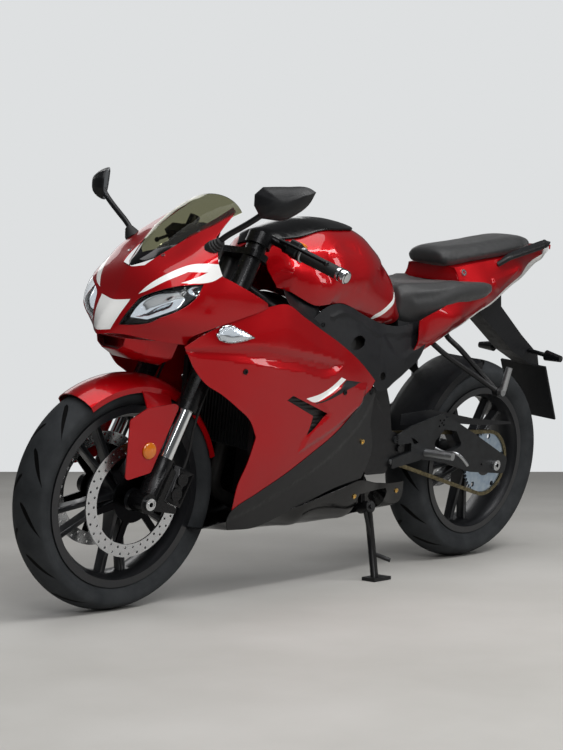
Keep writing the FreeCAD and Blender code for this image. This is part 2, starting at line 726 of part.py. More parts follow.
def brake_hoses():
    """Hose from each caliper to the lower yoke and from there to the master cylinder."""
    y = FRONT_DISC_Y + 16
    inside = FORK_Y - 48
    below = LOWER_YOKE[0] - FIT
    above = LOWER_YOKE[1] + FIT
    caliper = bent_tube([(-60, y, 122 + FIT), (-60, y, 160), (-16, FORK_Y - 3, 240),
                         (-14, FORK_Y - 3, 390), (8, inside, 436), (8, inside, below)],
                        HOSE_R, 60)
    beyond = FORK_OFFSET + OUTER_TUBE_R + HOSE_R + 7.5
    master = master_point() + V(0, 20, -MASTER_R - FIT)
    bar = bent_tube([master, master - V(0, 0, 60), (beyond, -FORK_Y - 20, 600), (beyond - 2, -30, 545),
                     (44, -14, 530), (44, -14, above)], HOSE_R, 40)
    return steered(Part.makeCompound([caliper, mirrored(caliper), bar]))


MASTER_R = 9.0                # brake master cylinder


def yokes():
    plates = []
    for s0, s1 in (LOWER_YOKE, TOP_YOKE):
        reach = FORK_Y + OUTER_TUBE_R + 7
        outline = [(-24, -20, s0), (-24, 20, s0), (-2, reach, s0), (58, reach, s0), (50, 0, s0),
                   (58, -reach, s0), (-2, -reach, s0)]
        plate = Part.Face(rounded_wire(outline, 22)).extrude(V(0, 0, s1 - s0))
        leg = fork_rod(s0 - 1, s1 + 1, OUTER_TUBE_R)
        plates.append(plate.cut(leg).cut(mirrored(leg)))
    stem = rod((0, 0, LOWER_YOKE[0]), (0, 0, TOP_YOKE[1] + 6), STEM_R)
    bore = rod((0, 0, LOWER_YOKE[0] - 5), (0, 0, TOP_YOKE[1] + 10), 8)
    top = plates[1].cut(rod((0, 0, TOP_YOKE[0] - 1), (0, 0, TOP_YOKE[1] + 1), STEM_R))
    return steered(Part.makeCompound([plates[0].fuse(stem).cut(bore), top]))


def bar_point(y):
    """Middle of the left handlebar at a distance from the middle plane."""
    share = (y - FORK_Y - 18) / 222
    return V(14 - 70 * share, y, CLAMP[1] - 44 * share)


def master_point():
    """Middle of the brake master cylinder ahead of the right handlebar."""
    y = FORK_Y + 78
    middle = bar_point(y)
    return V(middle.x + 28, -y, middle.z + 10)


def handlebars():
    """Clamps, bars, end weights, switch housings, levers and the master cylinder."""
    clamp = fork_rod(CLAMP[0], CLAMP[1], OUTER_TUBE_R + 7)
    bar = rod(bar_point(FORK_Y + 8), bar_point(BAR_Y), BAR_R)
    weight = rod(bar_point(BAR_Y), bar_point(BAR_Y + 14), BAR_R + 4)
    perch = rod(bar_point(166), bar_point(188), BAR_R + 5)
    switch = rod(bar_point(192), bar_point(214), BAR_R + 8)
    arm = bent_tube([bar_point(177), bar_point(177) + V(32, 0, 4)], 7, 10)
    lever = bent_tube([bar_point(171) + V(32, 0, 4), bar_point(225) + V(38, 0, 4),
                       bar_point(BAR_Y - 18) + V(46, 0, 2)], 4.5, 40)
    bore = fork_rod(CLAMP[0] - 8, CLAMP[1] + 22, OUTER_TUBE_R + RUN)
    half = fuse([clamp, bar, weight, perch, switch, arm, lever]).cut(bore)
    tank = master_point()
    master = fuse([mirrored(half), rod(tank + V(0, 26, 0), tank - V(0, 26, 0), MASTER_R),
                   rod(tank, tank + V(0, 0, 34), 15)])
    return steered(Part.makeCompound([half, master]))


def grips():
    sleeve = rod(bar_point(218), bar_point(BAR_Y - 4), BAR_R + GRIP_T)
    return steered(both_sides(sleeve.cut(rod(bar_point(200), bar_point(BAR_Y + 2), BAR_R))))


FENDER_GAP = 9.0              # over the front tyre


def front_fender():
    """Arch over the tyre with a blade ahead of each fork leg."""
    inside = FRONT_TYRE_R + FENDER_GAP
    half = FRONT_TYRE_W / 2 + 7
    low = inside - 24
    skirt = low - 14
    outer = half + PANEL
    edges = [Part.Arc(V(0, -half, low), V(0, 0, inside), V(0, half, low)).toShape(),
             Part.LineSegment(V(0, half, low), V(0, half, skirt)).toShape(),
             Part.LineSegment(V(0, half, skirt), V(0, outer, skirt)).toShape(),
             Part.LineSegment(V(0, outer, skirt), V(0, outer, low)).toShape(),
             Part.Arc(V(0, outer, low), V(0, 0, inside + PANEL), V(0, -outer, low)).toShape(),
             Part.LineSegment(V(0, -outer, low), V(0, -outer, skirt)).toShape(),
             Part.LineSegment(V(0, -outer, skirt), V(0, -half, skirt)).toShape(),
             Part.LineSegment(V(0, -half, skirt), V(0, -half, low)).toShape()]
    arch = lathe(Part.Face(Part.Wire(edges)), V(AXLE_OFFSET, 0, 0), angle=104, start=44)
    blade_y = FORK_Y + 4
    front = FORK_OFFSET + OUTER_TUBE_R + 3
    outline = [(front + 65, 25), (front + 127, 160), (front + 92, 205), (front + 17, 250),
               (front, 250), (front, 72)]
    wire = rounded_wire([(n, blade_y, s) for n, s in outline], 10)
    blade = Part.Face(wire).extrude(V(0, PANEL, 0))
    pad = box(FORK_OFFSET + OUTER_TUBE_R + FIT, front + 8, FORK_Y - 4, blade_y, 80, 110)
    half_fender = [blade, fender_shoulder(half + 1, blade_y + 1, front, skirt), pad]
    return steered(fuse([arch] + half_fender + [mirrored(f) for f in half_fender]))


def fender_shoulder(y0, y1, front, skirt):
    """Sloping web from the arch's skirt out to the blade."""
    def arch_s(n):
        return math.sqrt((skirt + 7) ** 2 - (n - AXLE_OFFSET) ** 2)

    rows = [(y0, front + 3, front + 93), (y1, front + 20, front + 84)]
    heights = [(arch_s(front + 3), arch_s(front + 93)), (240, 200)]
    wires = []
    for (y, n0, n1), (s0, s1) in zip(rows, heights):
        corners = [V(n0, y, s0), V(n1, y, s1), V(n1, y, s1 - PANEL), V(n0, y, s0 - PANEL)]
        wires.append(Part.makePolygon(corners + corners[:1]))
    return Part.makeLoft(wires, True, True)


# ---- frame --------------------------------------------------------------------------
SPAR_R = 17.0
CASE_REAR = 592.0             # rear face of the engine
CASE_TOP = 420.0
CASE_Y = 96.0                 # half width of the crankcase
HANGER_R = 8.0
LAMP_DEPTH = 34.0             # of the headlight bodies
LOWER_TIE = (CASE_REAR - 11 - FIT, 335.0)


SPAR_BEND_X = 665.0           # bend of each spar, where the seat rail joins it


def spar(radius):
    """Left main tube, from the headstock down to the pivot plate."""
    return bent_tube([steer_point(0, 0, 625), place(925, 118, 742), place(SPAR_BEND_X, 114, 622),
                      (585, 119, 520)], radius, 120)


STAY_R = 9.0
HEAD_R = STEM_R + 12


def nose_stay(radius):
    """Tube from the headstock forward to the lamp bar."""
    return bent_tube([steer_point(20, 0, 600), place(1240, 0, 845), place(1338, 0, 800)],
                     radius, 60)


def frame_head():
    """Headstock with the tube that carries the nose and its lamp bar."""
    head = steered(rod((0, 0, HEAD[0]), (0, 0, HEAD[1]), HEAD_R))
    lamp_bar = cross(fore(1335), 800, -180, 180, 8).common(hull(NOSE, LAMP_DEPTH + FIT))
    whole = fuse([head, nose_stay(STAY_R), lamp_bar])
    return whole.cut(steered(rod((0, 0, HEAD[0] - 30), (0, 0, HEAD[1] + 30), STEM_R + RUN)))


def frame_spars():
    """Main tube, brace, pivot plate and engine hangers of each side."""
    knee = place(985, 92, 660)
    brace = bent_tube([steer_point(0, 0, 535), knee, place(900, 116, 600),
                       place(680, 114, 612)], 13, 80)
    outline = [(640, 560), (560, 572), (536, 520), (516, 440), (452, 420), (448, 356),
               (512, 346), (520, 318), (612, 318), (618, 400)]
    plate = slab(outline, PLATE_IN, PLATE_OUT, 14)
    hanger = rod(place(896, 116, 600), (878, CASE_Y - HANGER_R, CASE_TOP - 12), HANGER_R)
    hanger = hanger.cut(box(840, 920, 40, 130, CASE_TOP - 30, CASE_TOP + FIT))
    arm = rod(knee, RADIATOR_MOUNT + V(0, 0, 28), 6)
    drop = rod(RADIATOR_MOUNT + V(0, 0, 32), RADIATOR_MOUNT, 6)
    side = fuse([spar(SPAR_R), brace, plate, hanger, arm, drop])
    side = side.cut(steered(rod((0, 0, HEAD[0] - 90), (0, 0, HEAD[1] + 90), HEAD_R + FIT)))
    side = side.cut(box(600, fore(1200), -60, FIT / 2, 300, 1000))
    side = side.cut(cross(PIVOT_X, PIVOT_Z, PLATE_IN - 1, PLATE_OUT + 1, PIVOT_BOLT_R + FIT))
    side = max(side.Solids, key=lambda piece: piece.Volume)
    return both_sides(side)


def frame_ties():
    """Cross tubes between the pivot plates, pivot bolt and side stand bracket."""
    end = PLATE_IN - FIT
    upper = cross(600, 540, -end, end, 12).cut(spar(SPAR_R + FIT))
    upper = upper.cut(mirrored(spar(SPAR_R + FIT)))
    lower = cross(LOWER_TIE[0], LOWER_TIE[1], -end, end, 11).fuse(stand_bracket())
    bolt = cross(PIVOT_X, PIVOT_Z, -PLATE_OUT - 8, PLATE_OUT + 8, PIVOT_BOLT_R)
    return Part.makeCompound([upper, lower, bolt])


def stand_frame():
    """Foot, parked leg direction and hinge axis of the side stand."""
    foot = V(STAND_FOOT.x, STAND_FOOT.y, floor_height(STAND_FOOT.y))
    leg = foot - STAND_PIVOT
    leg.normalize()
    folded = V(-0.97, 0, 0.24)
    axis = leg.cross(folded)
    axis.normalize()
    return foot, leg, axis


EYE_R = 17.0                  # side stand hinge
EYE_HALF = 11.0


def stand_bracket():
    foot, leg, axis = stand_frame()
    lug = rod(STAND_PIVOT - axis * 32, STAND_PIVOT - axis * (EYE_HALF + FIT), EYE_R)
    pin = rod(STAND_PIVOT - axis * 32, STAND_PIVOT + axis * (EYE_HALF + 5), STAND_PIN_R)
    arm = rod(STAND_PIVOT - axis * 27, V(LOWER_TIE[0], 92, LOWER_TIE[1]), 10)
    return fuse([lug, pin, arm])


def side_stand():
    foot, leg, axis = stand_frame()
    eye = rod(STAND_PIVOT - axis * EYE_HALF, STAND_PIVOT + axis * EYE_HALF, EYE_R)
    shank = rod(STAND_PIVOT + leg * 6, foot - leg * 6, STAND_R)
    tang = rod(STAND_PIVOT + leg * 130, STAND_PIVOT + leg * 150 + V(-30, 38, 6), 6)
    pad = box(-42, 28, -24, 24, 0, 9)
    pad.Placement = FreeCAD.Placement(foot, FreeCAD.Rotation(V(1, 0, 0), LEAN_DEG))
    stand = eye.fuse([shank, tang, pad])
    return stand.cut(rod(STAND_PIVOT - axis * 20, STAND_PIVOT + axis * 20, STAND_PIN_R + RUN))


def subframe():
    """Seat rails, their braces, the pillion peg hangers and the seat and tank rests."""
    bend = fore(SPAR_BEND_X)
    rail = bent_tube([(bend - 25, 92, 640), (440, 88, 690), (280, 78, 752), (120, 62, 815),
                      (-110, 42, 915)], 10.5, 200)
    brace = bent_tube([(bend - 33, 90.3, 580), (470, 88, 622), (330, 82, 736)], 9, 80)
    hanger = bent_tube([(330, 84, 736), (328, 82, 690), (296, 116, 656), (66, 152, 546)], 8, 40)
    hanger2 = bent_tube([(252, 76, 764), (250, 74, 706), (222, 114, 670), (66, 152, 546)], 8, 40)
    lug = cross(66, 546, 144, 162, 15)
    ties = [cross(280, 752, -78, 78, 8), cross(-60, 893, -46, 46, 8),
            cross(560, 734.4, -100, 100, 8)]
    post = rod((560, 90, 658), (560, 90, 734), 7)
    rest = rod((340, 80, 734), (340, 80, 790), 9).cut(hull(RIDER_SEAT, -FIT))
    half = [rail, brace, hanger, hanger2, lug, post, rest]
    whole = fuse(half + [mirrored(piece) for piece in half] + ties)
    gap = spar(SPAR_R + FIT)
    return whole.cut(gap).cut(mirrored(gap))


def swingarm():
    """Box arms on a pivot tube, with a cross beam and the paddock stand bores."""
    plate = [(496, 412), (346, 447), (246, 469), (111, 411), (-64, 331), (-59, 280),
             (119, 296), (255, 333), (490, 366)]
    window = [(312, 388), (262, 432), (206, 424), (170, 380), (230, 360)]
    arm = slab(plate, ARM_IN, ARM_OUT, 16).cut(slab(window, ARM_IN - 1, ARM_OUT + 1, 10))
    tube = cross(PIVOT_X, PIVOT_Z, -ARM_OUT, ARM_OUT, PIVOT_TUBE_R)
    beam = box(352, 402, -ARM_IN - 2, ARM_IN + 2, 338, 384)
    arms = fuse([arm, mirrored(arm), tube, beam])
    bobbin = cross(BOBBIN_X, BOBBIN_Z, ARM_OUT - BOBBIN_DEPTH, ARM_OUT, BOBBIN_R)
    arms = arms.cut(bobbin).cut(mirrored(bobbin))
    arms = arms.cut(cross(PIVOT_X, PIVOT_Z, -ARM_OUT - 1, ARM_OUT + 1, PIVOT_BOLT_R + FIT))
    return arms.cut(cross(0, REAR_TYRE_R, -ARM_OUT - 1, ARM_OUT + 1, AXLE_R + RUN))


def rear_axle():
    end = ARM_OUT + 13
    shaft = cross(0, REAR_TYRE_R, -end, end, AXLE_R)
    spacers = [cross(0, REAR_TYRE_R, HUB_END_Y + SIDE_RUN, ARM_IN - FIT, SPACER_R),
               cross(0, REAR_TYRE_R, FIT - ARM_IN, -REAR_HUB_Y - SIDE_RUN, SPACER_R)]
    nut = cross(0, REAR_TYRE_R, ARM_OUT + FIT, end - 1, AXLE_R + 7)
    hole = cross(0, REAR_TYRE_R, -end - 1, end + 1, AXLE_R - AXLE_WALL)
    return fuse([shaft, nut, mirrored(nut)] + spacers).cut(hole)


def rear_caliper():
    """Caliper over the front of the rear disc, on a bracket inside the right arm."""
    reach = REAR_DISC_R - 14
    body = box(reach - 18, reach + 26, REAR_DISC_Y - 14, REAR_DISC_Y + 12, -30, 30)
    bracket = box(reach - 18, reach + 40, FIT - ARM_IN, REAR_DISC_Y - 13, -22, 22)
    gap = cross(0, 0, REAR_DISC_Y - DISC_T / 2 - 1, REAR_DISC_Y + DISC_T / 2 + 1, REAR_DISC_R + 5)
    caliper = fuse([body, bracket]).cut(gap)
    caliper.rotate(V(0, 0, 0), V(0, 1, 0), -12)
    caliper.translate(REAR_AXLE)
    return caliper


def engine():
    """Crankcase with its round covers, gearbox and the inclined finned barrel."""
    case = box(CASE_REAR, 890, -CASE_Y, CASE_Y, 244, CASE_TOP)
    covers = [cross(780, 330, -108, 108, 68), cross(668, 345, -104, 0, 56)]
    gearbox = box(520, 600, -68, 68, 352, 460)
    fin_x, fin_y = 70, CASE_Y - 2 * HANGER_R - 3
    blocks = [box(-58, 58, -66, 66, 0, 170), box(-fin_x, fin_x, -fin_y, fin_y, 134, 170)]
    blocks += [box(-fin_x, fin_x, -fin_y, fin_y, z, z + 4) for z in range(50, 122, 14)]
    barrel = fuse(blocks)
    barrel.Placement = FreeCAD.Placement(V(800, 0, 405), FreeCAD.Rotation(V(0, 1, 0), 28))
    shaft = cross(SHAFT_X, SHAFT_Z, 40, CHAIN_Y + 8, SHAFT_R)
    return fuse([case, gearbox, barrel, shaft] + covers)


RADIATOR_MOUNT = place(1052, 100, 612 + FIT)


def radiator():
    """Core with upright fins between two side tanks."""
    x0, x1 = fore(1040), fore(1066)
    core = box(x0 + 4, x1 - 6, -128, 128, 408, 612)
    fins = [box(x0, x1, y, y + 3, 410, 612) for y in range(-120, 121, 12)]
    tanks = [box(x0 - 4, x1 + 4, y0, y0 + 16, 402, 618) for y0 in (-144, 128)]
    rail = box(x0, x1, -128, 128, 606, 612)
    return fuse([core, rail] + fins + tanks)


CAN_R = 50.0
CAN_WALL = 2.5


def exhaust():
    """Header pipe under the engine and the silencer on the right, open at its end."""
    pipe = bent_tube([(918.6, -40, 477.6), (984, -42, 443), (1000, -66, 262), (900, -75, 216),
                      (620, -72, 216), (382, -58, 236), (345, -140, 254), (316, -192, 282)],
                     18, 60)
    front, rear = V(316, -192, 282), V(-80, -236, 466)
    along = (rear - front).normalize()
    can = rod(front, rear, CAN_R).cut(rod(front + along * 3, rear - along * 3, CAN_R - CAN_WALL))
    outlet = rod(rear - along * 60, rear, 22)
    mouth = rod(rear - along * 61, rear + along, 22 - CAN_WALL)
    cap = cone(front - along * 26, front, 22, CAN_R)
    hanger = rod((66, -153, 527), (62, -200, 436), 6)
    return pipe.fuse([can, outlet, cap, hanger]).cut(mouth)


def rear_hugger():
    """Arch over the rear tyre with the chain guard on its left."""
    inside = REAR_TYRE_R + 10
    half = REAR_TYRE_W / 2 + 5
    profile = [(-half - 3, inside - 26), (-half, inside - 26), (-half, inside - 6),
               (-half + 24, inside), (half - 24, inside), (half, inside - 6),
               (half, inside - 26), (half + 3, inside - 26), (half + 3, inside - 4),
               (half - 22, inside + 3), (22 - half, inside + 3), (-half - 3, inside - 4)]
    arch = lathe(profile, REAR_AXLE, angle=64, start=100)
    top = REAR_TYRE_R + REAR_PITCH_R
    guard = slab([(440, 478), (300, 488), (100, top + 47), (-95, top + 29), (-100, top + 22),
                  (60, top + 24), (300, 452), (440, 446)], 98, 101, 4)
    shelf = box(225, 300, REAR_TYRE_W / 2 + 6, 100, 470, 473)
    boss = cross(290, 446, 100, ARM_IN - FIT, 7)
    boss_right = cross(285, 440, FIT - ARM_IN, -half - 1, 6)
    return fuse([arch, guard, shelf, boss, boss_right])


# ---- bodywork -----------------------------------------------------------------------
def fuel_tank():
    """Closed hollow shell of sheet metal."""
    front, back = fore(TANK[-1][0]) - PANEL, fore(TANK[0][0]) + PANEL
    return hull(TANK).cut(hull(TANK, PANEL).common(box(back, front, -300, 300, 600, 1100)))


def tank_cover():
    over = hull(TANK, -PANEL - FIT).cut(hull(TANK, -FIT))
    corners = [place(650, -34, 900), place(650, 34, 900), place(930, 46, 900),
               place(930, -46, 900)]
    return over.common(Part.Face(rounded_wire(corners, 20)).extrude(V(0, 0, 120)))


def rider_seat():
    """Saddle whose sides reach back along the tail hump."""
    wires = [Part.makePolygon([place(x, y, z) for y, z in row + row[:1]])
             for x, *row in SEAT_WING]
    wing = Part.makeLoft(wires, True, True).cut(hull(TAIL, -SEAM))
    return fuse([hull(RIDER_SEAT), wing, mirrored(wing)])


def pillion_seat():
    return hull(PILLION)


def grab_rails():
    """Handles beside the pillion seat that meet behind its back end."""
    rail = bent_tube([(62, 96, 922), (40, 116, 944), (-150, 112, 992), (-206, 66, 1000)], 8, 40)
    front = rod((62, 96, 922), (66, 80, 912), 7)
    rear = rod((-198, 70, 998), (-188, 60, 976), 7)
    return both_sides(fuse([rail, front, rear]))


def tail_cowl():
    shell = skin(TAIL, PANEL).common(slab(TAIL_SIDE, -200, 200))
    shell = shell.cut(hull(PILLION, -SEAM)).cut(hull(RIDER_SEAT, -SEAM))
    shell = shell.cut(box(150, 470, -99, 99, 600, 770))
    return shell.cut(grab_rails())


def tail_light():
    return box(-319, -312.4, -13, 13, 977, 991)


def screen_wire(x, half, crown, edge, lift, thick):
    outer = [place(x, -half, edge + lift), place(x, 0, crown + lift), place(x, half, edge + lift)]
    inner = [p - V(0, 0, thick) for p in outer]
    return Part.Wire([Part.Arc(*outer).toShape(),
                      Part.LineSegment(outer[2], inner[2]).toShape(),
                      Part.Arc(inner[2], inner[1], inner[0]).toShape(),
                      Part.LineSegment(inner[0], outer[0]).toShape()])


def windscreen():
    wires = [screen_wire(x, half, crown, edge, 0, SCREEN_T) for x, half, crown, edge in SCREEN]
    return Part.makeLoft(wires, True, True)


def screen_opening():
    """Space that the nose leaves for the screen."""
    wires = [screen_wire(x, half + SEAM, crown, edge, 30, 70) for x, half, crown, edge in SCREEN]
    first = SCREEN[-1]
    wires.append(screen_wire(1100, first[1] + 6, first[2] + 20, first[3] + 20, 30, 70))
    return Part.makeLoft(wires, True, True)


def nose_cowl():
    shell = skin(NOSE, PANEL).common(slab(NOSE_SIDE, -260, 260))
    lamps = slab(LAMP, 20, 260, 6)
    shell = shell.cut(lamps).cut(mirrored(lamps))
    return shell.cut(screen_opening()).cut(box(0, fore(1500), -260, 260, 600, NOSE_SIDE[1][1] + 6))


def chin_scoop():
    return skin(CHIN, PANEL)


def headlights():
    body = hull(NOSE, 1).cut(hull(NOSE, LAMP_DEPTH))
    ring = rounded_wire([(fore(x), 22, z) for x, z in LAMP], 6).makeOffset2D(-SEAM)
    return both_sides(body.common(Part.Face(ring).extrude(V(0, 236, 0))))


def side_fairing(side):
    """Red panel with a channel pressed into it and a bent vent."""
    flank = hull(FLANK)
    deep = hull(FLANK, CHANNEL_DEPTH + PANEL)
    panel = flank.cut(hull(FLANK, PANEL)).common(slab(RED_SIDE, 60, 260))
    channel = slab(CHANNEL, 60, 260, 6)
    ring = rounded_wire([(fore(x), 60, z) for x, z in CHANNEL], 6).makeOffset2D(-PANEL)
    inside = Part.Face(ring).extrude(V(0, 200, 0))
    floor = hull(FLANK, CHANNEL_DEPTH).cut(deep).common(channel)
    walls = flank.cut(deep).common(channel.cut(inside))
    panel = fuse([panel.cut(channel), floor, walls])
    panel = panel.cut(slab(VENT, 60, 260, 3))
    return panel if side > 0 else mirrored(panel)


def belly_pan():
    """Black lower fairing, cut away behind the front wheel and round the side stand."""
    half = slab(BELLY_SIDE, 0, 260)
    shell = skin(FLANK, PANEL).common(Part.makeCompound([half]).fuse(mirrored(half)))
    shell = shell.cut(box(fore(1088), fore(1200), -104, 104, 150, 230))
    return shell.cut(box(STAND_PIVOT.x - 37, STAND_PIVOT.x + 47, 84, 200, 170, 262))


def frame_covers():
    panel = skin(COVER, PANEL).common(slab(COVER_SIDE, 80, 260))
    hole = slab([(742, 690), (700, 676), (696, 652), (734, 660)], 100, 260, 9)
    return both_sides(panel.cut(hole).cut(hull(TAIL, -SEAM)))


def mirrors():
    """Mirror heads on long stalks from the nose."""
    base = rod(place(1278, 150, 912), place(1276, 162, 940), 15)
    stalk = bent_tube([place(1276, 160, 936), place(1264, MIRROR_Y - 46, 1012),
                       place(1256, MIRROR_Y - 16, 1030)], 7, 40)
    # columns: outwards and up from the middle of the glass
    glass = [(-58, 16), (-46, -22), (-14, -42), (50, -36), (58, 6), (40, 42), (-30, 38)]
    wires = []
    for x, share, corner in ((1228, 1.0, 12), (1284, 0.55, 8)):
        points = [place(x, MIRROR_Y + share * y, 1044 + share * z) for y, z in glass]
        wires.append(rounded_wire(points, corner))
    cup = Part.makeLoft(wires, True, True)
    return both_sides(fuse([base, stalk, cup]).cut(hull(NOSE, -FIT)))


def rearsets():
    """Pierced plates that carry the rider's pegs, bolted to the pivot plates."""
    y0, y1 = PLATE_OUT + 5, PLATE_OUT + 12
    outline = [(498, 428), (440, 452), (300, 484), (276, 452), (338, 414), (356, 366),
               (392, 350), (512, 332), (512, 360), (432, 378), (436, 404), (494, 400)]
    diamond = [(404, 403), (421, 414), (440, 420), (422, 398)]
    plate = slab(outline, y0, y1, 6).cut(slab(diamond, y0 - 1, y1 + 1))
    for x, z in ((306, 456), (298, 464), (316, 464), (297, 450), (316, 447)):
        plate = plate.cut(cross(x, z, y0 - 1, y1 + 1, 3.5))
    bosses = [cross(x, z, PLATE_OUT, y0 + 2, 10) for x, z in ((496, 414), (504, 346))]
    return both_sides(fuse([plate] + bosses))


def footpegs():
    """Rider's pegs on the rearset plates and the pillion's on their hangers."""
    seat = PLATE_OUT + 12 + FIT
    rider = rod((367, seat - 6, 372), (352, seat + 88, 376), 11)
    rider = rider.cut(box(340, 390, seat - 30, seat, 350, 400))
    pillion = fuse([cross(66, 546, 162, 176, 12), rod((66, 174, 552), (62, 184, 622), 10)])
    return both_sides(Part.makeCompound([rider, pillion]))


def plate_holder():
    side = [(60, 803.4), (36, 766), (-150, 650), (-262, 604), (-352, 432), (-366, 438),
            (-290, 640), (-190, 702), (-66, 790), (-52, 857.4)]
    body = slab(side, -34, 34, 2)
    plate = slab([(-262, 604), (-352, 432), (-358, 435), (-268, 608)], -88, 88)
    return fuse([body, plate])


def indicators():
    rear = fuse([rod((-238, 34.7, 652), (-238, 104, 646), 7),
                 cone((-238, 104, 646), (-238, 160, 642), 17, 10)])
    # columns: y, then tail, tail top, front top and front low as (x, z)
    rows = [(204, (1160, 709), (1160, 717), (1252, 738), (1250, 700)),
            (224, (1186, 710), (1186, 716), (1230, 728), (1230, 708))]
    rings = [rounded_wire([place(x, y, z) for x, z in corners], 4) for y, *corners in rows]
    neck = [rounded_wire([place(x, y, z) for x, z in ((1244, 710), (1244, 726), (1276, 722),
                                                      (1276, 712))], 3) for y in (200, 216)]
    lens = Part.makeLoft(rings, True, True).fuse(Part.makeLoft(neck, True, True))
    return both_sides(Part.makeCompound([rear, lens.cut(hull(FLANK, -FIT))]))


def instrument_panel():
    dash = box(-16, 16, -72, 72, -30, 34)
    dash.Placement = FreeCAD.Placement(place(1212, 0, 932), FreeCAD.Rotation(V(0, 1, 0), 35))
    leg = rod(place(1268, 0, 835), place(1208, 0, 926), 7).cut(nose_stay(STAY_R + FIT))
    return fuse([dash, leg.Solids[-1] if len(leg.Solids) > 1 else leg])


# ---- assembly -----------------------------------------------------------------------
SUBPARTS = {
    "frame_head": frame_head,
    "frame_spars": frame_spars,
    "frame_ties": frame_ties,
    "subframe": subframe,
    "swingarm": swingarm,
    "rear_axle": rear_axle,
    "rear_caliper": rear_caliper,
    "engine": engine,
    "radiator": radiator,
    "exhaust": exhaust,
    "drive_chain": drive_chain,
    "front_sprocket": front_sprocket,
    "rear_hugger": rear_hugger,
    "fuel_tank": fuel_tank,
    "tank_cover": tank_cover,
    "rider_seat": rider_seat,
    "pillion_seat": pillion_seat,
    "grab_rails": grab_rails,
    "tail_cowl": tail_cowl,
    "tail_light": tail_light,
    "nose_cowl": nose_cowl,
    "chin_scoop": chin_scoop,
    "windscreen": windscreen,
    "headlights": headlights,
    "side_fairing_left": lambda: side_fairing(1),
    "side_fairing_right": lambda: side_fairing(-1),
    "belly_pan": belly_pan,
    "frame_covers": frame_covers,
    "mirrors": mirrors,
    "rearsets": rearsets,
    "footpegs": footpegs,
    "plate_holder": plate_holder,
    "indicators": indicators,
    "instrument_panel": instrument_panel,
    "fork_outer_tubes": fork_outer_tubes,
    "fork_chrome_tubes": fork_chrome_tubes,
    "fork_lowers": fork_lowers,
    "yokes": yokes,
    "handlebars": handlebars,
    "grips": grips,
    "front_fender": front_fender,
    "front_axle": front_axle,
    "front_calipers": front_calipers,
    "brake_hoses": brake_hoses,
    "front_tyre": front_tyre,
    "front_wheel_rim": front_wheel_rim,
    "front_brake_discs": front_brake_discs,
    "rear_tyre": rear_tyre,
    "rear_wheel_rim": rear_wheel_rim,
    "rear_sprocket": rear_sprocket,
    "rear_brake_disc": rear_brake_disc,
    "side_stand": side_stand,
}


def solids_only(shape):
    solids = shape.Solids
    return solids[0] if len(solids) == 1 else Part.makeCompound(solids)


def parked_placement(shapes):
    """Lean the machine, drop it to the road and centre its bounding box."""
    lean_turn = FreeCAD.Placement(V(0, 0, 0), FreeCAD.Rotation(V(1, 0, 0), -LEAN_DEG))
    bound = FreeCAD.BoundBox()
    for shape in shapes:
        leaned = shape.copy()
        leaned.Placement = lean_turn.multiply(leaned.Placement)
        bound.add(leaned.optimalBoundingBox(False, False))
    shift = V(-(bound.XMin + bound.XMax) / 2, -(bound.YMin + bound.YMax) / 2, -bound.ZMin)
    return FreeCAD.Placement(shift, FreeCAD.Rotation()).multiply(lean_turn), bound


def main():
    os.makedirs("parts", exist_ok=True)
    built = {}
    for name, make in SUBPARTS.items():
        built[name] = solids_only(make())
    parked, bound = parked_placement(built.values())
    for name, shape in built.items():
        shape.Placement = parked.multiply(shape.Placement)
        shape.exportStep(f"parts/{name}.step")
        print(f"{name}: {len(shape.Solids)} solids, valid {shape.isValid()}, "
              f"{shape.Volume / 1000:.0f} cm3")
    print(f"size {bound.XLength:.1f} x {bound.YLength:.1f} x {bound.ZLength:.1f} mm")
    foot, leg, hinge = stand_frame()
    left = V(0, 1, 0)
    axes = {"steering": (STEER_ORIGIN, ALONG), "front_wheel": (FRONT_AXLE, left),
            "rear_wheel": (REAR_AXLE, left), "side_stand": (STAND_PIVOT, hinge),
            "bobbin_left": (V(BOBBIN_X, ARM_OUT - BOBBIN_DEPTH / 2, BOBBIN_Z), left),
            "bobbin_right": (V(BOBBIN_X, BOBBIN_DEPTH / 2 - ARM_OUT, BOBBIN_Z), left * -1),
            "stem": (steer_point(0, 0, TOP_YOKE[1] + 1), ALONG)}
    for name, (point, axis) in axes.items():
        p = parked.multVec(point)
        a = parked.Rotation.multVec(axis)
        print(f"axis {name} {p.x:.4f} {p.y:.4f} {p.z:.4f} {a.x:.6f} {a.y:.6f} {a.z:.6f}")


main()
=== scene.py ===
import json
import math
import bmesh
import bpy
import numpy as np
from mathutils import Matrix, Vector
from mathutils.geometry import delaunay_2d_cdt


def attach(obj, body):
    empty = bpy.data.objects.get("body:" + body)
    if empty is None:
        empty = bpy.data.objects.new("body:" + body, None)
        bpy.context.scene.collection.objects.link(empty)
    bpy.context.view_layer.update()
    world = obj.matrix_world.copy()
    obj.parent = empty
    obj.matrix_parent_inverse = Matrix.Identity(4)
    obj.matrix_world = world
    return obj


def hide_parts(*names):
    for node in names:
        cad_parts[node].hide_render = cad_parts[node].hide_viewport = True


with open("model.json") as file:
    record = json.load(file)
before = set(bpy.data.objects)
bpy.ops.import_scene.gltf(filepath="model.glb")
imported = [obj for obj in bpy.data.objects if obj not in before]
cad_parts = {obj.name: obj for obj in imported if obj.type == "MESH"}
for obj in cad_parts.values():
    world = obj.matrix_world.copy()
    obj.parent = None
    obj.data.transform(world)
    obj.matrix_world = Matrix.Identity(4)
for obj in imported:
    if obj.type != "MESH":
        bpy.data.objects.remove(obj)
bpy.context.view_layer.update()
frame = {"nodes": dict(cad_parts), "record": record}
RECORD = frame["record"]
JOINTS = {j["name"]: j for j in RECORD["behaviour"]["joints"]}
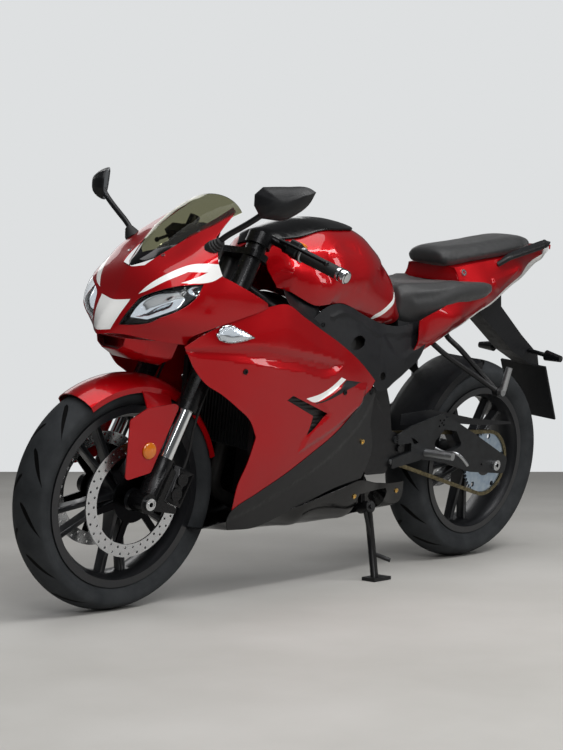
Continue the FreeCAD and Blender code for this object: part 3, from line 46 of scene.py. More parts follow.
BODY = {n: b for b, nodes in RECORD["behaviour"]["bodies"].items() for n in nodes}
SIDES = ((1, "left"), (-1, "right"))
scene = bpy.context.scene
scene.view_settings.view_transform = "Standard"

# ---- The machine's own axes -------------------------------------------------------------
# The bike leans on its side stand. Its rear axle, which points to its left, gives the
# upright frame that all of its pieces are drawn in: x forward from the rear axle,
# y left and z up from the road, in millimetres.
MM = 0.001
AXLE_HEIGHT = 311.0
REAR_AXLE = Vector(JOINTS["rear_wheel_spin"]["pos_m"])
FRONT_AXLE = Vector(JOINTS["front_wheel_spin"]["pos_m"])
LEFT = Vector(JOINTS["rear_wheel_spin"]["axis"]).normalized()
FORWARD = Vector((1, 0, 0))
UP = FORWARD.cross(LEFT)
STEER_AT = Vector(JOINTS["steering_turn"]["pos_m"])
ALONG = Vector(JOINTS["steering_turn"]["axis"]).normalized()
ACROSS = LEFT.cross(ALONG)


def bike(x, y, z):
    """A place on the upright machine, in millimetres, as a place in the scene."""
    return REAR_AXLE + (FORWARD * x + LEFT * y + UP * (z - AXLE_HEIGHT)) * MM


def fork(n, y, s):
    """A place on the steering: n ahead of its axis, y left, s up along it."""
    return STEER_AT + (ACROSS * n + LEFT * y + ALONG * s) * MM


# ---- Floor, camera and light ------------------------------------------------------------
# A plain pale studio floor, a long lens at waist height ahead of the left side, and
# broad soft lamps, so that the lacquer shows long soft highlights.
def colour(code, alpha=1.0):
    """sRGB hex to the linear colour that the shaders take."""
    parts = [int(code[i:i + 2], 16) / 255 for i in (1, 3, 5)]
    linear = [c / 12.92 if c <= 0.04045 else ((c + 0.055) / 1.055) ** 2.4 for c in parts]
    return (*linear, alpha)


def add(tree, kind, links=None, **settings):
    """Add one node with its settings; links gives its sockets an output or a value."""
    new = tree.nodes.new(kind)
    for key, value in settings.items():
        setattr(new, key, value)
    for key, value in (links or {}).items():
        if isinstance(value, bpy.types.NodeSocket):
            tree.links.new(value, new.inputs[key])
        else:
            new.inputs[key].default_value = value
    return new


def inside(material):
    """A material's nodes and its shader."""
    return material.node_tree, material.node_tree.nodes["Principled BSDF"]


def finish(name, base, tones=None, rough=None, grain=None, **values):
    """A new material, with values for its shader's sockets. Each of the others begins
    with a scale per metre: tones mottle two colours, rough mottles the roughness from
    low to high, and grain is a bump of a depth in mm. They may end with a detail."""
    material = bpy.data.materials.new(name)
    material.use_nodes = True
    tree, shader = inside(material)
    shader.inputs["Base Color"].default_value = colour(base)
    for key, value in values.items():
        shader.inputs[key.replace("_", " ")].default_value = value
    if tones:
        scale, first, second, *detail = tones
        tree.links.new(blend_colours(tree, mottle(tree, scale, 0, 1, *detail), first, second),
                       shader.inputs["Base Color"])
    if rough:
        tree.links.new(mottle(tree, *rough), shader.inputs["Roughness"])
    if grain:
        scale, depth_mm, *detail = grain
        bump(tree, shader, mottle(tree, scale, 0, 1, *detail), depth_mm)
    return material


def mottle(tree, scale, low, high, detail=4.0):
    """Noise on the object's own coordinates (per metre), from low to high."""
    where = add(tree, "ShaderNodeTexCoord").outputs["Object"]
    noise = add(tree, "ShaderNodeTexNoise", {"Vector": where, "Scale": scale,
                                             "Detail": detail, "Roughness": 0.55})
    return add(tree, "ShaderNodeMapRange", {"Value": noise.outputs["Fac"], "From Min": 0.3,
                                            "From Max": 0.7, "To Min": low,
                                            "To Max": high}).outputs[0]


def blend_colours(tree, share, first, second):
    """Mix two colours, each a hex code or a socket, by a share."""
    values = [colour(c) if isinstance(c, str) else c for c in (first, second)]
    return add(tree, "ShaderNodeMix", {0: share, 6: values[0], 7: values[1]},
               data_type="RGBA").outputs[2]


def bump(tree, shader, height, depth_mm):
    """Give the shader a bump of a real depth."""
    made = add(tree, "ShaderNodeBump", {"Height": height, "Distance": depth_mm * MM,
                                        "Strength": 1.0})
    tree.links.new(made.outputs[0], shader.inputs["Normal"])


def make_object(name, data):
    """A new object in the scene."""
    made = bpy.data.objects.new(name, data)
    scene.collection.objects.link(made)
    return made


# Power-floated concrete, with faint clouds.
concrete = finish("power_floated_concrete", "#C6C6C3", tones=(1.6, "#B3B1AC", "#C2C0BC", 8),
                  Roughness=0.6)
CAMERA_AT = REAR_AXLE + Vector((3.795, 2.995, 0.661)) - UP * AXLE_HEIGHT * MM
CAMERA_LOOK = Vector((-0.712, -0.702, -0.0204))
lens = bpy.data.cameras.new("camera")
lens.lens = 73.4
camera = make_object("camera", lens)
camera.matrix_world = (Matrix.Translation(CAMERA_AT)
                       @ CAMERA_LOOK.to_track_quat("-Z", "Y").to_matrix().to_4x4())
scene.camera = camera

# Metres ahead of the camera and aside from it, for each corner of the floor.
FLOOR = ((-5.0, -14), (-5.0, 14), (7.9, 14), (7.9, -14))
ahead = Vector((CAMERA_LOOK.x, CAMERA_LOOK.y, 0)).normalized()
aside = ahead.cross(Vector((0, 0, 1)))
foot = Vector((CAMERA_AT.x, CAMERA_AT.y, 0))
floor_mesh = bpy.data.meshes.new("floor")
floor_mesh.from_pydata([foot + ahead * a + aside * b for a, b in FLOOR], [], [range(4)])
floor = make_object("floor", floor_mesh)
floor_mesh.materials.append(concrete)

studio = bpy.data.worlds.new("studio")
studio.use_nodes = True
scene.world = studio
tree = studio.node_tree
ray = add(tree, "ShaderNodeLightPath")
seen = add(tree, "ShaderNodeMath", {0: ray.outputs["Is Camera Ray"],
                                    1: ray.outputs["Is Transmission Ray"]},
           operation="MAXIMUM")
around = add(tree, "ShaderNodeBackground", {"Color": colour("#D8DADC"), "Strength": 0.15})
behind = add(tree, "ShaderNodeBackground", {"Color": colour("#DEE0E1"), "Strength": 1.0})
both = add(tree, "ShaderNodeMixShader", {0: seen.outputs[0], 1: around.outputs[0],
                                         2: behind.outputs[0]})
tree.links.new(both.outputs[0], tree.nodes["World Output"].inputs[0])


def lamp(name, at, towards, size, power):
    """A soft rectangular lamp, its size in metres and its power in watts."""
    light = bpy.data.lights.new(name, "AREA")
    light.shape = "RECTANGLE"
    light.size, light.size_y = size
    light.energy = power
    made = make_object(name, light)
    way = (Vector(towards) - Vector(at)).to_track_quat("-Z", "Y").to_matrix().to_4x4()
    made.matrix_world = Matrix.Translation(at) @ way


lamp("overhead", (0.2, 0.6, 3.4), (0, 0, 0), (3.4, 2.2), 62)
lamp("strip_high", (-0.2, 1.7, 2.7), (0, 0, 0.4), (3.4, 0.3), 42)
lamp("key", (2.6, 3.4, 2.6), (0, 0, 0.5), (2.2, 1.6), 70)
lamp("side", (-2.6, 3.2, 1.9), (0, 0, 0.5), (0.5, 2.2), 26)
lamp("behind", (-1.5, -3.4, 2.4), (0, 0, 0.5), (3.0, 1.4), 20)

# ---- Frame, swingarm, engine and what is bolted to them ---------------------------------
# Steel tubes and plates in satin black powder coat, which hides all but soft edges. The
# swingarm, engine, radiator, rear caliper and rearsets are aluminium in dark paint.
def hand_over(made, material, node, new=False):
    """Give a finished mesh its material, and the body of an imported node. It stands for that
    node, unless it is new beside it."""
    if made.data.materials:          # clearing also resets the faces' material numbers
        made.data.materials.clear()
    for m in material if isinstance(material, list) else [material]:
        made.data.materials.append(m)
    if not new:
        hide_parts(node)
    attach(made, BODY[node])
    return made


def carry(material, *nodes, crease=32):
    """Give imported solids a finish, with their curves smoothed up to a crease angle. The
    last of them is returned."""
    for node in nodes:
        made = make_object(node + "_part", frame["nodes"][node].data.copy())
        whole = bmesh.new()
        whole.from_mesh(made.data)
        bmesh.ops.remove_doubles(whole, verts=whole.verts, dist=2e-6)
        bmesh.ops.dissolve_limit(whole, angle_limit=math.radians(0.6), verts=whole.verts,
                                 edges=whole.edges)
        whole.to_mesh(made.data)
        whole.free()
        made.data.shade_smooth()
        made.data.set_sharp_from_angle(angle=math.radians(crease))
        hand_over(made, material, node)
    return made


def round_edges(made, width_mm, angle, segments=2):
    """Round the edges that turn by more than an angle in degrees."""
    edge = made.modifiers.new("eased_edges", "BEVEL")
    edge.width = width_mm * MM
    edge.segments = segments
    edge.limit_method = "ANGLE"
    edge.angle_limit = math.radians(angle)
    edge.use_clamp_overlap = True
    edge.harden_normals = True


# Powder coat with an orange peel of about 1 mm.
powder_coat = finish("satin_black_powder_coat", "#0C0C0E", rough=(60, 0.36, 0.5),
                     grain=(900, 0.05), Roughness=0.42, Specular_IOR_Level=0.35)
# Dark paint over a sand-cast grain of about 1.5 mm.
cast_dark = finish("painted_cast_aluminium", "#1A1B1D", tones=(40, "#141517", "#202224"),
                   grain=(700, 0.12), Roughness=0.5, Metallic=0.35)
# Aluminium blasted with glass beads: even, pale and dull.
bare_alloy = finish("bead_blasted_aluminium", "#A9ABAD", rough=(90, 0.3, 0.46),
                    grain=(1200, 0.03), Roughness=0.38, Metallic=1.0)
# Matt enamel on the exhaust, browned here and there by heat.
heat_black = finish("heat_proof_black_enamel", "#1A1A1A", tones=(26, "#151515", "#242220"),
                    Roughness=0.55)

carry(powder_coat, "frame_head", "frame_spars", "frame_ties", "subframe", "grab_rails")
carry(cast_dark, "swingarm", "rear_caliper", "radiator", "engine", "rearsets")
carry(bare_alloy, "footpegs")
carry(heat_black, "exhaust")

# ---- Wheels -----------------------------------------------------------------------------
# Cast aluminium wheels in satin graphite lacquer, with five forked spokes. The tyres' tread
# and the fine rings on their walls are moulded relief, drawn in their rubber; the grooves are
# painted near black as painted shade.
graphite = finish("satin_graphite_lacquer", "#232427", rough=(120, 0.3, 0.4), Roughness=0.34,
                  Metallic=0.4, Coat_Weight=0.35, Coat_Roughness=0.2)
carry(graphite, "front_wheel_rim", "rear_wheel_rim")


def sums(tree, kind, first, second=None, third=None):
    """One step of arithmetic on sockets or numbers."""
    values = {i: v for i, v in enumerate((first, second, third)) if v is not None}
    return add(tree, "ShaderNodeMath", values, operation=kind).outputs[0]


def tyre_rubber(name, axle, half_mm, count, tread):
    """Cured rubber with sickle-shaped grooves 4 mm deep, that lean back from the middle
    of the tread and alternate from side to side, and fine moulded rings on the walls.
    The tread begins at a radius in metres. The grooves are painted near black as painted
    shade."""
    material = finish(name, "#2C2E30", Roughness=0.66, Specular_IOR_Level=0.08)
    tree, shader = inside(material)
    where = add(tree, "ShaderNodeTexCoord").outputs["Object"]
    lean = math.atan2(LEFT.z, LEFT.y)
    moved = add(tree, "ShaderNodeMapping", {"Vector": where, "Location": -axle}).outputs[0]
    turned = add(tree, "ShaderNodeMapping", {"Vector": moved, "Rotation": (-lean, 0, 0)})
    apart = add(tree, "ShaderNodeSeparateXYZ", {0: turned.outputs[0]})
    x, y, z = (apart.outputs[i] for i in "XYZ")
    angle = sums(tree, "ARCTAN2", z, x)
    out = sums(tree, "DIVIDE", sums(tree, "ABSOLUTE", y), half_mm * MM)
    flank_side = sums(tree, "MULTIPLY", sums(tree, "GREATER_THAN", y, 0.0), 0.5)
    sweep = sums(tree, "MULTIPLY", sums(tree, "POWER", out, 1.6), 0.7)
    turn = sums(tree, "MULTIPLY_ADD", angle, count / (2 * math.pi), flank_side)
    saw = sums(tree, "FRACT", sums(tree, "ADD", turn, sums(tree, "ADD", sweep, 40)))
    away = sums(tree, "ABSOLUTE", sums(tree, "SUBTRACT", saw, 0.5))
    width = sums(tree, "MULTIPLY", sums(tree, "SINE", sums(tree, "MULTIPLY", out, 3.3)), 0.08)
    groove = add(tree, "ShaderNodeMapRange", {
        "Value": sums(tree, "SUBTRACT", away, width), "From Min": -0.012, "From Max": 0.008,
        "To Min": 1.0, "To Max": 0.0}).outputs[0]
    reach = add(tree, "ShaderNodeVectorMath", {0: add(tree, "ShaderNodeCombineXYZ", {
        0: x, 1: z}).outputs[0]}, operation="LENGTH").outputs["Value"]
    on_tread = sums(tree, "GREATER_THAN", reach, tread)
    groove = sums(tree, "MULTIPLY", groove, sums(tree, "MULTIPLY", on_tread, sums(
        tree, "GREATER_THAN", out, 0.1)))
    rubber_tone = blend_colours(tree, mottle(tree, 18, 0, 1), "#2A2C2E", "#383A3C")
    # Painted shade: the grooves are coloured near black for the shade inside them.
    tree.links.new(blend_colours(tree, groove, rubber_tone, "#040404"),
                   shader.inputs["Base Color"])
    rings = sums(tree, "MULTIPLY", sums(tree, "SINE", sums(tree, "MULTIPLY", reach, 3100)),
                 sums(tree, "MULTIPLY", sums(tree, "LESS_THAN", reach, 0.249), 0.05))
    height = sums(tree, "ADD", sums(tree, "MULTIPLY", groove, -1.0), rings)
    grain = sums(tree, "MULTIPLY", mottle(tree, 1500, 0, 1), 0.01)
    bump(tree, shader, sums(tree, "ADD", height, grain), 4.0)
    return material


carry(tyre_rubber("front_tyre_rubber", FRONT_AXLE, 55, 14, 0.262), "front_tyre", crease=40)
carry(tyre_rubber("rear_tyre_rubber", REAR_AXLE, 70, 15, 0.272), "rear_tyre", crease=40)

# ---- Discs, sprockets and chain ---------------------------------------------------------
# The discs are ground stainless steel; each front one is a ring on a black carrier.
# The sprockets are zinc plated and the chain is oiled.
disc_steel = finish("ground_stainless_steel", "#C2C4C6", grain=(1500, 0.02), Roughness=0.26,
                    Metallic=1.0)
carry(disc_steel, "rear_brake_disc", "front_axle", "rear_axle")
CARRIER_R = 113.5                  # the steel ring of a front disc begins here, in mm
floating_disc = finish("steel_disc_on_black_carrier", "#C2C4C6", Roughness=0.26, Metallic=1.0)
tree, shader = inside(floating_disc)
where = add(tree, "ShaderNodeTexCoord").outputs["Object"]
off = add(tree, "ShaderNodeVectorMath", {0: where, 1: FRONT_AXLE}, operation="SUBTRACT")
along = add(tree, "ShaderNodeVectorMath", {0: off.outputs[0], 1: LEFT},
            operation="DOT_PRODUCT").outputs["Value"]
full = add(tree, "ShaderNodeVectorMath", {0: off.outputs[0]}, operation="LENGTH")
reach = sums(tree, "SQRT", sums(tree, "SUBTRACT",
                                sums(tree, "POWER", full.outputs["Value"], 2.0),
                                sums(tree, "MULTIPLY", along, along)))
tree.links.new(blend_colours(tree, sums(tree, "GREATER_THAN", reach, CARRIER_R * MM),
                             "#101012", "#C2C4C6"), shader.inputs["Base Color"])
carry(floating_disc, "front_brake_discs")

# Bright zinc with a blue passivation.
zinc = finish("blue_zinc_plate", "#A7B9CB", tones=(60, "#98ABC0", "#B6C4D0"), Roughness=0.32,
              Metallic=1.0)
carry(zinc, "rear_sprocket", "front_sprocket")
# Yellow chain steel, dark where oil has gathered.
chain_metal = finish("oiled_gold_chain_steel", "#9C8B5E", tones=(120, "#4C4638", "#83795C"),
                     Roughness=0.4, Metallic=1.0)
carry(chain_metal, "drive_chain")

# ---- Fork and handlebars ----------------------------------------------------------------
# Upside-down fork: black anodised outer tubes, hard-chromed sliders and black cast feet.
# The bars, yokes and calipers are black too, and the grips are rubber.
anodised = finish("black_anodised_aluminium", "#131315", rough=(200, 0.24, 0.36),
                  Roughness=0.3, Metallic=0.55)
# Hard chrome, polished, with faint wear.
chrome = finish("hard_chrome", "#DDDFE1", rough=(90, 0.05, 0.1), Roughness=0.07, Metallic=1.0)
# Matt moulded rubber on the grips, hoses and boots.
rubber = finish("moulded_black_rubber", "#111112", grain=(900, 0.06), Roughness=0.68)
carry(anodised, "fork_outer_tubes", "yokes", "handlebars", "front_calipers", "fork_lowers")
carry(chrome, "fork_chrome_tubes")
carry(rubber, "grips")
carry(powder_coat, "side_stand")

# ---- Side fairings ----------------------------------------------------------------------
# Two injection-moulded ABS panels in candy red: clear lacquer over tinted metal flake, which
# looks deep and almost wet, and its red is darkened as painted shade where the faces turn away
# from view. A channel is pressed in below the lamp's crease, and a bent vent lets hot air out.
# Each is held by small black screws.
candy = finish("candy_red_lacquer", "#A8020C", Roughness=0.36, Metallic=0.45,
               Specular_IOR_Level=0.08, Coat_Weight=0.8, Coat_IOR=1.42, Coat_Roughness=0.02)
tree, shader = inside(candy)
# Painted shade: the red darkens where its faces turn away from the camera, and is brighter
# where they face it.
facing = add(tree, "ShaderNodeLayerWeight", {"Blend": 0.3}).outputs["Facing"]
flake = mottle(tree, 1400, 0, 1, 2)
base = blend_colours(tree, facing, "#AE020D", "#4A0005")
tree.links.new(blend_colours(tree, add(tree, "ShaderNodeMath", {0: flake, 1: 0.3},
                                       operation="MULTIPLY").outputs[0],
                             base, "#C80812"), shader.inputs["Base Color"])


def smooth_line(points, step, closed=True, corner=38):
    """Points about a step apart on a line that is smooth but for its sharp corners."""
    at = [Vector(p[:2]) for p in points]
    count = len(at)
    ways = []
    for i, here in enumerate(at):
        before, after = here - at[i - 1], at[(i + 1) % count] - here
        end = not closed and i in (0, count - 1)
        if end or before.length * after.length == 0:
            ways.append(None)
            continue
        sharp = abs(before.angle_signed(after)) > math.radians(corner)
        way = before.normalized() * after.length + after.normalized() * before.length
        ways.append(None if sharp else way.normalized())
    line = []
    for i in range(count if closed else count - 1):
        a, b = at[i], at[(i + 1) % count]
        run = b - a
        leave = ways[i] * run.length if ways[i] else run
        arrive = ways[(i + 1) % count] * run.length if ways[(i + 1) % count] else run
        for k in range(max(1, round(run.length / step))):
            t = k / max(1, round(run.length / step))
            line.append(a * (2 * t ** 3 - 3 * t ** 2 + 1) + leave * (t ** 3 - 2 * t ** 2 + t)
                        + b * (3 * t ** 2 - 2 * t ** 3) + arrive * (t ** 3 - t ** 2))
    return line if closed else line + [at[-1]]


def within(u, v, ring):
    """Whether each of many places lies inside a closed line."""
    hit = np.zeros(len(u), bool)
    for a, b in zip(ring, ring[1:] + ring[:1]):
        crosses = (a.y > v) != (b.y > v)
        if crosses.any():
            at = a.x + (b.x - a.x) * (v - a.y) / ((b.y - a.y) or 1e-9)
            hit ^= crosses & (u < at)
    return hit


def distance(u, v, line, closed=True):
    """How far each of many places lies from a line."""
    best = np.full(len(u), 1e9)
    for a, b in zip(line, line[1:] + (line[:1] if closed else [])):
        run = b - a
        share = ((u - a.x) * run.x + (v - a.y) * run.y) / max(run.length_squared, 1e-9)
        share = np.clip(share, 0, 1)
        best = np.minimum(best, np.hypot(u - a.x - share * run.x, v - a.y - share * run.y))
    return best


def skin_over(points, slack=0.02):
    """A smooth height over a plane, close to each of the points (u, v, height)."""
    table = np.array(points, float)
    spots = table[:, :2] / 100

    def pull(u, v):
        gap = ((np.c_[u, v][:, None] - spots[None]) ** 2).sum(2)
        return np.where(gap > 0, gap * np.log(gap + 1e-12), 0)

    flat = np.c_[np.ones(len(spots)), spots]
    system = np.block([[pull(*spots.T) + slack * np.eye(len(spots)), flat],
                       [flat.T, np.zeros((3, 3))]])
    share = np.linalg.solve(system, np.r_[table[:, 2], 0, 0, 0])

    def height(u, v):
        u, v = np.asarray(u, float) / 100, np.asarray(v, float) / 100
        return pull(u, v) @ share[:-3] + share[-3] + share[-2] * u + share[-1] * v
    return height


def on_sheet(u, v, rims):
    """Whether each of many places lies inside the first line and in none of the others."""
    keep = within(u, v, rims[0])
    for ring in rims[1:]:
        keep &= ~within(u, v, ring)
    return keep


def filled(rims, marks, folds, step):
    """Points about a step apart that fill an outline but for its holes, the faces between
    them, and for each face the number of the marked area it lies in, or 0. The rims and
    marks are closed lines, the folds are open, and the faces end at all of them."""
    lines = [(ring, True) for ring in rims + marks] + [(fold, False) for fold in folds]
    spots, edges = [], []
    for line, closed in lines:
        start = len(spots)
        spots += line
        edges += [(start + i, start + i + 1) for i in range(len(line) - 1)]
        if closed:
            edges.append((start + len(line) - 1, start))
    u_low, v_low = (min(p[i] for p in rims[0]) for i in (0, 1))
    u_high, v_high = (max(p[i] for p in rims[0]) for i in (0, 1))
    grid_u, grid_v = np.meshgrid(np.arange(u_low, u_high, step),
                                 np.arange(v_low, v_high, step * 0.87))
    grid_u = grid_u + (np.arange(len(grid_v)) % 2 * step / 2)[:, None]
    u, v = grid_u.ravel(), grid_v.ravel()
    keep = on_sheet(u, v, rims)
    for line, closed in lines:
        keep &= distance(u, v, line, closed) > step * 0.55
    spots = [Vector((p.x, p.y)) for p in spots] + [Vector(p) for p in zip(u[keep], v[keep])]
    flat, _, faces, *_ = delaunay_2d_cdt(spots, edges, [], 0, 1e-4)
    middle = np.array([np.mean([flat[i] for i in f], axis=0) for f in faces])
    number = np.zeros(len(faces), int)
    for i, ring in enumerate(marks):
        number[within(*middle.T, ring)] = i + 1
    good = on_sheet(*middle.T, rims)
    return flat, [f for f, ok in zip(faces, good) if ok], number[good]


def formed(form, spots, *how):
    """x, y and z on the upright machine for points of a flat sheet over a form."""
    return np.array(form(*(np.array([p[i] for p in spots]) for i in (0, 1)), *how)).T


def press(name, outline, form, step=9.0, holes=(), folds=(), areas=(), wall=2.5, side=1,
          core=None, edge=0.9):
    """Cut a sheet to an outline and press it over a form.

    form turns places (u, v) of the flat sheet into x, y and z of the upright machine.
    Folds are lines that the mesh follows, areas are closed lines whose inside takes
    the material of their number, and core is a point behind the sheet."""
    rims = [smooth_line(ring, step * 0.8) for ring in (outline, *holes)]
    marks = [smooth_line(ring, step * 0.8) for ring in areas]
    folds = [smooth_line(fold, step * 0.8, closed=False) for fold in folds]
    flat, faces, number = filled(rims, marks, folds, step)
    at = formed(form, flat)
    if core is None:
        core = (at[:, 0].mean(), 0, at[:, 2].mean())
    a, b, c = (at[[f[i] for f in faces]] for i in range(3))
    outward = (np.cross(b - a, c - a) * ((a + b + c) / 3 - core)).sum(1).sum() > 0
    if outward != (side > 0):
        faces = [f[::-1] for f in faces]
    mesh = bpy.data.meshes.new(name)
    mesh.from_pydata([bike(x, side * y, z) for x, y, z in at], [], faces)
    for poly, n in zip(mesh.polygons, number):
        poly.material_index = int(n)
    clean = bmesh.new()
    clean.from_mesh(mesh)
    bmesh.ops.delete(clean, geom=[p for p in clean.verts if not p.link_faces],
                     context="VERTS")
    clean.to_mesh(mesh)
    clean.free()
    mesh.shade_smooth()
    made = make_object(name, mesh)
    if wall:
        solid = made.modifiers.new("wall", "SOLIDIFY")
        solid.thickness = wall * MM
        solid.offset = -1
        if edge:
            round_edges(made, edge, 55)
    return made


def inset_line(ring, depth):
    """The same closed line moved inwards."""
    turn = sum(a.x * b.y - b.x * a.y for a, b in zip(ring, ring[1:] + ring[:1]))
    moved = []
    for i, here in enumerate(ring):
        way = (ring[(i + 1) % len(ring)] - ring[i - 1]).normalized()
        moved.append(here + Vector((-way.y, way.x)) * math.copysign(depth, turn))
    return moved


def sunk(u, v, ring, depth, ramp):
    """Depth of a pressed area at each place: full inside, with a ramp at its edge."""
    return np.where(within(u, v, ring), np.clip(distance(u, v, ring) / ramp, 0, 1), 0) * depth


def looped(ring):
    """A closed line as a fold, which ends where it began."""
    return ring + ring[:1]


def sheet(name, outline, form, step, material, node, new=False, **how):
    """Press a piece and hand it over."""
    hand_over(press(name, outline, form, step, **how), material, node, new)


def pair(name, outline, form, step, material, node, standing=1, **how):
    """The same for a left piece and its mirror image: both, one or none stand for the
    node. A {} in the node's name is the side."""
    for count, (side, hand) in enumerate(SIDES):
        sheet(name + "_" + hand, outline, form, step, material, node.format(hand),
              count >= standing, side=side, **how)


FLANK = [
    (1352, 690, 168), (1302, 719, 181), (1233, 751, 192), (1117, 788, 202), (1069, 796, 206),
    (990, 765, 203), (910, 730, 196), (820, 690, 188), (729, 642, 181), (653, 590, 173),
    (1290, 700, 187), (1176, 730, 207), (1060, 735, 213), (950, 700, 207), (850, 670, 197),
    (1340, 676, 171), (1249, 668, 199), (1147, 668, 212), (997, 660, 213), (870, 640, 201),
    (760, 600, 188), (1316, 630, 166), (1249, 600, 186), (1150, 580, 203), (1050, 560, 206),
    (950, 540, 201), (850, 520, 192), (750, 510, 182), (700, 540, 178), (1181, 535, 191),
    (1124, 496, 187), (1050, 450, 188), (950, 430, 185), (850, 440, 181), (1104, 400, 178),
    (1000, 380, 177), (1118, 328, 163), (1050, 330, 164), (1124, 262, 150), (720, 460, 170),
    (640, 465, 163), (622, 400, 155), (633, 320, 145), (800, 380, 166), (800, 300, 150),
    (900, 320, 158), (900, 240, 138), (1020, 215, 136), (1130, 215, 132), (1185, 213, 122)]
flank_y = skin_over(FLANK, 0.3)
SPLIT = [(683, 560), (724, 519), (785, 463), (885, 399), (966, 349), (1047, 305), (1124, 262)]
FAIRING = ([(1354, 684), (1302, 719), (1233, 751), (1117, 789), (1062, 797), (990, 766),
            (910, 731), (820, 692), (729, 643), (654, 592), (668, 571)] + SPLIT
           + [(1126, 328), (1112, 385), (1100, 456), (1126, 496), (1181, 535), (1236, 570),
              (1279, 593), (1316, 630)])
GROOVE = smooth_line(
    [(1362, 676), (1250, 688), (1176, 692), (997, 675), (870, 655), (806, 640), (850, 618),
     (990, 631), (1147, 649), (1249, 659), (1347, 670)], 8)
LAYER = smooth_line(
    [(690, 580), (697, 560), (705, 526), (806, 466), (936, 407), (920, 452), (851, 506),
     (900, 545), (800, 588)], 8)
VENT = [(1022, 552), (1003, 564), (851, 510), (918, 454), (912, 478), (909, 506)]


def flank(u, v, deeper=0):
    """The fairing's face, with its groove pressed in and its rear layer raised."""
    y = flank_y(u, v) - deeper
    return u, y - sunk(u, v, GROOVE, 10, 9) + sunk(u, v, LAYER, 5, 6), v


SWOOSH = [
    (950, 554), (912, 543), (868, 558), (828, 578), (793, 600), (814, 606), (846, 586),
    (886, 568)]
SLITS = [
    (790, 598), (722, 590), (775, 576), (850, 551), (908, 537), (908, 540), (866, 553),
    (824, 573)]
# Cut vinyl film under its own clear coat.
film = finish("white_vinyl_film", "#F1F1EF", Roughness=0.25, Coat_Weight=0.8,
              Coat_Roughness=0.04)
pair("fairing", FAIRING, flank, 8, [candy, film, cast_dark], "side_fairing_{}", 2,
     holes=[VENT], areas=[SWOOSH, SLITS],
     folds=[looped(GROOVE), inset_line(GROOVE, 9), looped(LAYER), inset_line(LAYER, 6)])

# ---- Belly pan and vent -----------------------------------------------------------------
# Satin charcoal panels with a raised band carry the fairings down to a gloss black tray
# under the engine. The tray is drawn as its distance from a line inside it, for each
# place along it and turn round it. A louvred back closes each fairing's vent.
satin_black = finish("satin_charcoal_ABS", "#0E0F11", rough=(55, 0.3, 0.43), Roughness=0.36,
                     Specular_IOR_Level=0.35)
gloss_black = finish("gloss_black_ABS", "#050506", rough=(70, 0.12, 0.2), Roughness=0.22,
                     Specular_IOR_Level=0.35)
BAND = smooth_line(
    [(640, 566), (672, 496), (723, 439), (784, 391), (843, 355), (930, 310), (1040, 262),
     (1134, 228), (1220, 260), (1124, 300), (966, 400), (785, 520), (683, 610), (640, 600)],
    8)
BELLY = (SPLIT + [(1126, 260), (1132, 238), (1116, 205), (1024, 204), (923, 232), (731, 295),
                  (633, 313), (620, 345), (612, 399), (626, 440), (640, 466), (644, 520),
                  (646, 556), (668, 566)])
TRAY_LINE = 330.0
TRAY = [
    (392, (100, 270), (94, 222), (66, 203), (0, 200)),
    (520, (114, 288), (108, 220), (80, 197), (0, 193)),
    (640, (139, 312), (124, 224), (92, 191), (0, 187)),
    (850, (145, 270), (128, 214), (98, 189), (0, 185)),
    (1060, (132, 236), (122, 205), (96, 193), (0, 190)),
    (1180, (114, 216), (105, 207), (80, 202), (0, 200))]
rows = [(x, math.atan2(y, TRAY_LINE - z) * 100, math.hypot(y, TRAY_LINE - z))
        for x, *row in TRAY for y, z in row]
tray_reach = skin_over(rows + [(x, -v, reach) for x, v, reach in rows if v], 0.02)
STAND_POCKET = smooth_line([(478, 58), (628, 54), (630, 113), (478, 107)], 8, corner=30)


def tray(u, v):
    """Floor of the belly at a place along it and a turn from straight down, pressed in
    on the left where the side stand folds away."""
    reach = tray_reach(u, v) - sunk(u, v, STAND_POCKET, 36, 12)
    return u, reach * np.sin(v / 100), TRAY_LINE - reach * np.cos(v / 100)


pair("belly_side", BELLY, lambda u, v: flank(u, v, 1.2 - sunk(u, v, BAND, 3, 2.5)), 8,
     satin_black, "belly_pan", folds=[BAND[:int(len(BAND) * 0.45)]])
TRAY_RIM = [
    (394, -58), (520, -112), (634, -140), (731, -128), (923, -100), (1024, -92), (1133, -84),
    (1180, -70), (1180, 70), (1133, 84), (1024, 92), (923, 100), (731, 128), (634, 140),
    (520, 121), (394, 112)]
sheet("belly_tray", TRAY_RIM, tray, 10, gloss_black, "belly_pan", new=True,
      folds=[looped(STAND_POCKET), inset_line(STAND_POCKET, 12)], core=(800, 0, 330),
      edge=1.5)

LOUVRES = [
    (1036, 546), (1022, 566), (1000, 574), (838, 512), (904, 444), (930, 444), (922, 500)]
pair("vent_back", LOUVRES, lambda u, v: flank(u, v, 13 + 5 * ((v / 11) % 1)), 4, heat_black,
     "side_fairing_left", 0, edge=0)

# ---- Nose cowl --------------------------------------------------------------------------
# One thin ABS shell from the lamps back to the cockpit, lacquered like the fairings, with
# a white V of film on its tip and a white stripe over each lamp. The nose is drawn as
# its distance from an upright line behind it, for each turn round that line and height.
NOSE_LINE = 1080.0
TURN = 200.0                  # mm of drawing for a radian round the line
NOSE = [
    (1488, (6, 692), (8, 698), (8, 704), (6, 708), (3, 710), (1, 711)),
    (1440, (70, 690), (119, 745), (100, 777), (54, 785), (6, 789), (1, 790)),
    (1400, (115, 689), (171, 757), (160, 810), (82, 851), (8, 867), (1, 868)),
    (1320, (160, 688), (196, 782), (192, 834), (153, 898), (70, 918), (10, 938)),
    (1230, (182, 690), (204, 790), (197, 862), (172, 950), (100, 976), (14, 1011)),
    (1140, (195, 696), (207, 800), (198, 870), (158, 990), (113, 1016), (16, 1056))]
nose_reach = skin_over([(math.atan2(y, x - NOSE_LINE) * TURN, z, math.hypot(y, x - NOSE_LINE))
                        for x, *row in NOSE for y, z in row])
